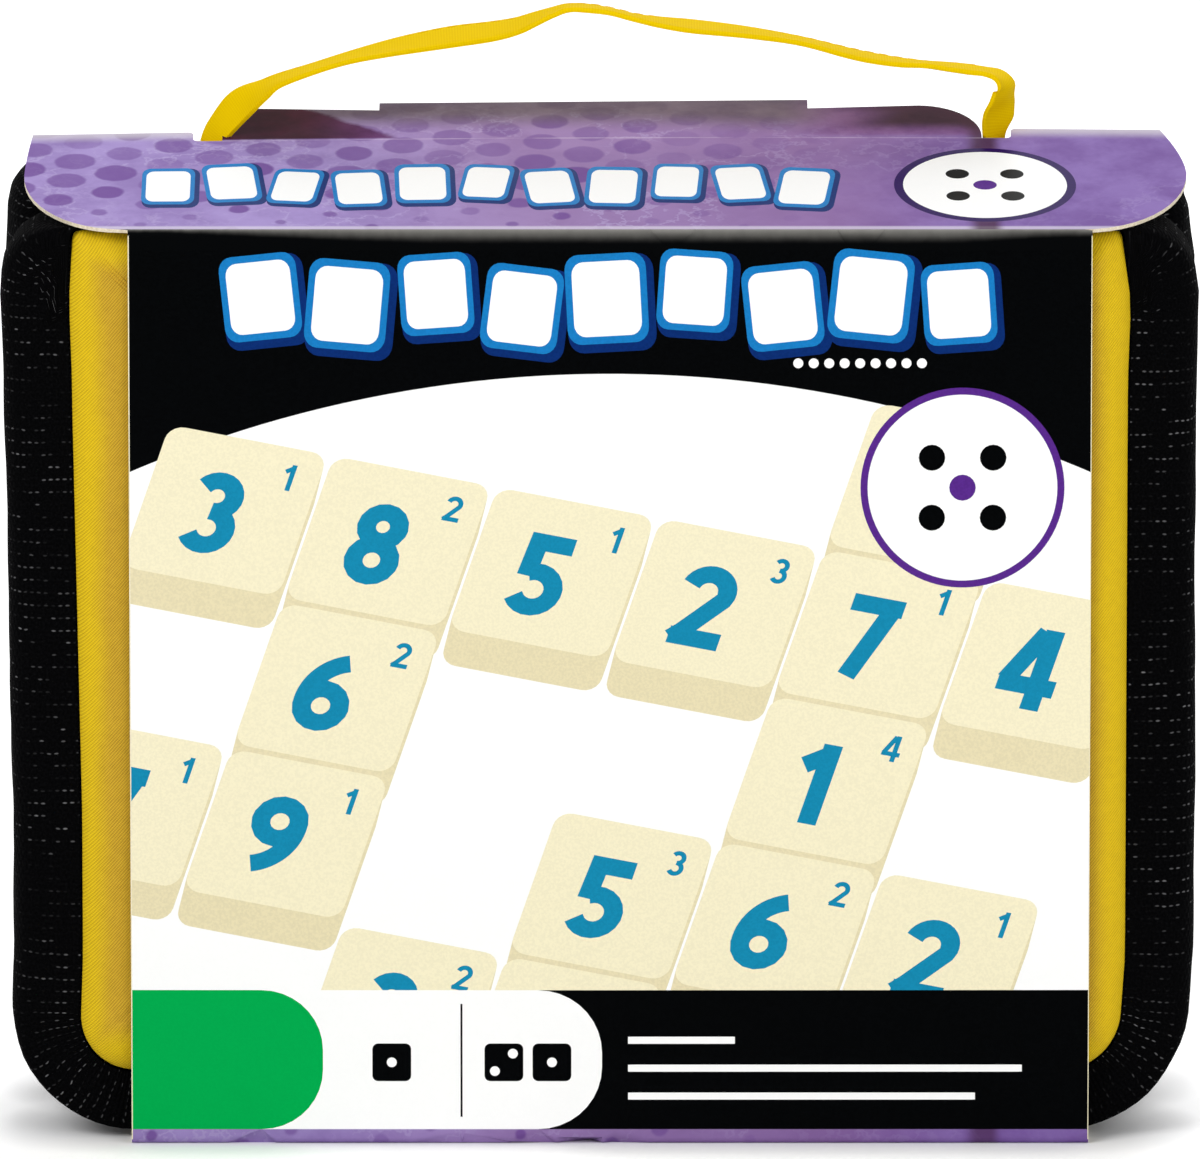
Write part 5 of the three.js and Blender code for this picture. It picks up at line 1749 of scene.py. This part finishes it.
# Drawstring pouch. A bag of purple cotton that stands in the rear half, filled tight with the
# tiles, gathered at its neck by the cord and frilled out above it.
POUCH_HALF, POUCH_HALF_DEPTH, POUCH_MIDDLE = 49.6, 12.0, 5.0
POUCH_FLOOR, POUCH_FULL = 8.4, 87.4
NECK_HEIGHT, NECK_HALF, NECK_HALF_DEPTH = 102.4, 12.0, 4.3
FRILL_TOP, FRILL_HALF, FRILL_HALF_DEPTH = 113.4, 20.4, 5.8
POUCH_WALL = 0.7
FOOT_ROUND = 4
TILE_STEP, LOWEST_SEAM = 19.4, 9.7


def ease(value, low, high):
    """From 0 at low to 1 at high, with a level start and end."""
    share = part_way(value, low, high)
    return share * share * (3 - 2 * share)


def near_seam(value):
    """1 on the seams between the stacks of tiles, falling off on both sides."""
    return hump(((value / TILE_STEP + 0.5) % 1 - 0.5) * TILE_STEP, 0, 2.2)


def pouch_skin(wall, heights):
    """Rings of the pouch from the floor up, `wall` inside its outer face.

    The width eases from the body to the neck and out again to the frill. Pleats are sine waves
    round the ring that deepen towards the neck, and the tiles press shallow squares into the face.
    """
    neck = ease(heights, POUCH_FULL + 0.5, NECK_HEIGHT - 1.5)
    frill = ease(heights, NECK_HEIGHT + 1.5, FRILL_TOP)
    foot = np.sqrt(1 - part_way(heights, POUCH_FLOOR + FOOT_ROUND, POUCH_FLOOR) ** 2)
    half = POUCH_HALF - FOOT_ROUND * (1 - foot) + (NECK_HALF - POUCH_HALF) * neck
    deep = POUCH_HALF_DEPTH - FOOT_ROUND * (1 - foot) + (NECK_HALF_DEPTH - POUCH_HALF_DEPTH) * neck
    half = half + (FRILL_HALF - NECK_HALF) * frill - wall
    deep = deep + (FRILL_HALF_DEPTH - NECK_HALF_DEPTH) * frill - wall
    corner = np.minimum(2.8 + 5.2 * neck, deep * 0.96)
    rings = case_rings(half, deep, -deep, corner, corner)
    around = angles_round(rings.shape[1])
    neck, frill, foot = neck[:, None], frill[:, None], foot[:, None]
    x, z = rings[..., 0], np.repeat(heights[:, None], len(around), 1)
    tight = hump(heights, NECK_HEIGHT, 9.0)[:, None]
    pleats = np.sin(22 * around + 0.8 * np.sin(3 * around)) * 0.55 * tight
    flare = np.sin(14 * around + 1.2) * 1.5 * frill
    body = (1 - neck) * (z < POUCH_FULL + 2)
    pressed = -0.42 * np.maximum(near_seam(x), near_seam(z - LOWEST_SEAM)) * body
    creases = 0.35 * cloth_waves(x, z, 21, 0.7) * (0.3 + tight) * foot
    relief = np.minimum(pleats + flare + pressed + creases, 0.9 + frill)
    rings = rings + unit(rings) * (relief - 0.35 - 0.25 * neck)[..., None]
    return np.stack([rings[..., 0], rings[..., 1] + POUCH_MIDDLE, z], -1)


foot_heights = POUCH_FLOOR + FOOT_ROUND * (1 - np.cos(np.linspace(0.0, math.pi / 2, 6)))
heights = np.concatenate([foot_heights, np.linspace(14, FRILL_TOP, 66)])
inner = np.clip(heights, POUCH_FLOOR + POUCH_WALL, FRILL_TOP - 0.2)
grid = np.concatenate([pouch_skin(0, heights), pouch_skin(POUCH_WALL, inner[::-1])])


def cotton_paint(place):
    """Purple cotton sheeting: a slubby plain weave, paler on the threads that stand proud."""
    u, v, _ = place.axes()
    weave = u.wave(0.55 * MM) * v.wave(0.55 * MM) * 0.5 + 0.5
    slub = place.noise(160, 4, 0.7)
    patch = place.noise(28, 2)
    shade = (weave * 0.5 + slub * 0.5).step(0.2, 0.8)
    base = shade.mix(srgb(70, 38, 112), srgb(112, 76, 158))
    colour = (patch.step(0.4, 0.8) * 0.35).mix(base, srgb(58, 30, 96))
    height = weave * (0.06 * MM) + slub * (0.12 * MM)
    return {"Base Color": colour, "Roughness": 0.85 - weave * 0.08, "Height": height}


cotton = finish("purple_cotton", cotton_paint, uv=True, Sheen_Weight=0.25, Sheen_Roughness=0.6)
pouch = surface("pouch_cotton", grid, [cotton], caps=True)
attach(pouch, "rear_half")
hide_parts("pouch")


# Drawstring. Two-ply twisted cotton cord, drawn tight round the pouch's neck and closed by a knot
# in front.
CORD_RADIUS = 1.0
KNOT_REACH = 1.15


def twisted_cord(line, radius, lay):
    """A two-ply cord round a closed 3-D line. The section has two lobes and turns once per `lay`."""
    ahead = unit(np.roll(line, -1, axis=0) - np.roll(line, 1, axis=0))
    first = unit(np.cross(ahead, [[0.12, 0.3, 1.0]]))
    second = np.cross(ahead, first)
    along = lengths_along(line)
    turns = max(1, round(along[-1] / lay)) / along[-1]
    angle = angles_round(12)
    lobes = 0.84 + 0.16 * np.cos(2 * (angle - 2 * math.pi * turns * along[:, None]))
    spokes = first[:, None] * np.cos(angle)[:, None] + second[:, None] * np.sin(angle)[:, None]
    return line[:, None] + (radius * lobes)[..., None] * spokes


x, y = case_rings(NECK_HALF + 1.0, NECK_HALF_DEPTH + 1.0, -NECK_HALF_DEPTH - 1.0, 4.6, 4.6)[0].T
neck_line = np.stack([x, y + POUCH_MIDDLE, np.full(len(x), NECK_HEIGHT)], 1)
turn = angles_round(120)
knot_line = np.stack(
    [
        (np.sin(turn) + 2 * np.sin(2 * turn)) * KNOT_REACH * 0.62,
        -1.6 - np.sin(3 * turn) * 0.8,
        NECK_HEIGHT + (np.cos(turn) - 2 * np.cos(2 * turn)) * KNOT_REACH * 0.5,
    ],
    1,
)


def string_paint(place):
    """Off-white cotton cord, with fibres in two tones."""
    fibre = place.noise(1400, 3, 0.7)
    colour = fibre.step(0.3, 0.75).mix(srgb(196, 186, 164), srgb(236, 228, 210))
    return {"Base Color": colour, "Roughness": fibre * 0.1 + 0.85, "Height": fibre * (0.06 * MM)}


string = finish("cotton_string", string_paint)
neck_grid, knot_grid = twisted_cord(neck_line, CORD_RADIUS, 4.2), twisted_cord(knot_line, 0.62, 3.0)
neck_cord = surface("pouch_drawstring_cord", neck_grid, [string], wrap=(True, True))
neck_knot = surface("pouch_drawstring_knot", knot_grid, [string], wrap=(True, True))
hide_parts("pouch_drawstring")
for piece in (neck_cord, neck_knot):
    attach(piece, "rear_half")


# Tiles. Eighty moulded squares of cream styrene that stand in stacks of four in the pouch. The
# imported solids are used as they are.
def tile_paint(place):
    """Cream styrene with a soft gloss, faint flow marks and fine scuffs."""
    flow = place.noise(24, 3)
    scuff = place.noise(700, 4, 0.7)
    colour = flow.step(0.3, 0.7).mix(srgb(236, 228, 196), srgb(246, 240, 214))
    rough = scuff.step(0.5, 0.8) * 0.25 + 0.28
    return {"Base Color": colour, "Roughness": rough, "Height": scuff * (0.012 * MM)}


tile_plastic = finish("cream_styrene", tile_paint)
for n in range(1, 21):
    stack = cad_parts[f"tile_stack_{n:02d}"]
    stack.data.materials.clear()
    stack.data.materials.append(tile_plastic)


# Instruction leaflet. One sheet of white paper folded in three, standing behind the pouch, with
# plain ruled bars where its text would be.
def paper_paint(place):
    """Uncoated paper: faint fibre clouds."""
    cloud = place.noise(240, 4, 0.6)
    colour = cloud.mix(srgb(234, 232, 224), srgb(248, 247, 242))
    return {"Base Color": colour, "Roughness": cloud * 0.1 + 0.8, "Height": cloud * (0.02 * MM)}


paper = finish("leaflet_paper", paper_paint)
leaflet_ink = print_finish("leaflet_ink", srgb(70, 68, 74), 0.15, 0.6, 0.2)
LEAFLET_HALF, LEAFLET_LOW, LEAFLET_TOP = 55.8, 7.0, 124.5
PAPER = 0.13
FIRST_LEAF, SECOND_LEAF, THIRD_LEAF = 17.95, 18.2, 18.45
leaflet_path = bent_path(
    [
        (FIRST_LEAF, LEAFLET_LOW),
        (FIRST_LEAF, LEAFLET_TOP),
        (SECOND_LEAF, LEAFLET_TOP),
        (SECOND_LEAF, LEAFLET_LOW),
        (THIRD_LEAF, LEAFLET_LOW),
        (THIRD_LEAF, LEAFLET_TOP),
    ],
    [0.1, 0.1, 0.1, 0.1],
    3,
)
leaflet_end = leaflet_path[1][-1]
rules = []
for row in range(17):
    reach = 46 - 17 * ((row * 7) % 5 == 3)
    rules.append(([level_block(reach - 48, 108 - 6 * row, reach, 0.55, 0.1, 2)], 1))
leaflet_lattice = lattice(np.arange(-50, 51, 12.5), np.linspace(2, leaflet_end - 2, 34))


def leaflet_wave(flat):
    """A slight waviness, as of paper that has been folded and pressed."""
    return 0.04 * np.sin(flat[:, 0] / 17) * np.sin(flat[:, 1] / 23)


leaflet = folded_card(
    "instruction_leaflet_paper",
    flat_pattern(rectangle(-LEAFLET_HALF, LEAFLET_HALF, 0, leaflet_end), rules, leaflet_lattice),
    leaflet_path,
    PAPER,
    [paper, leaflet_ink, paper, paper],
    leaflet_wave,
)
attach(leaflet, "rear_half")
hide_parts("instruction_leaflet")


# Studio floor. A plain pale sheet under the case, wide enough to fill the view. It belongs to the
# photograph's setting and not to the case.
def floor_paint(place):
    """Pale paper lifted to white for the camera alone; it takes the case's shadow and a painted contact
    shadow.
    """
    cloud = place.noise(6, 2)
    # Painted contact shadow: the glow seen by the camera fades where the case is close.
    contact_shadow = place.node("AmbientOcclusion", {"samples": 8}, {"Distance": 0.011}, output=1)
    seen = place.node("LightPath") * contact_shadow.power(3) * 0.36
    base = cloud.mix((0.86, 0.86, 0.87), (0.9, 0.9, 0.9))
    return {"Base Color": base, "Roughness": cloud * 0.1 + 0.6, "Emission Color": seen}


floor_paper = finish("floor_paper", floor_paint, Emission_Strength=1.0)
FLOOR_HALF = 3.0
floor_corners = [(-FLOOR_HALF, -FLOOR_HALF, 0), (FLOOR_HALF, -FLOOR_HALF, 0)]
floor_corners += [(FLOOR_HALF, FLOOR_HALF, 0), (-FLOOR_HALF, FLOOR_HALF, 0)]
studio_floor = new_piece("studio_floor", floor_corners, [(0, 1, 2, 3)], [floor_paper])
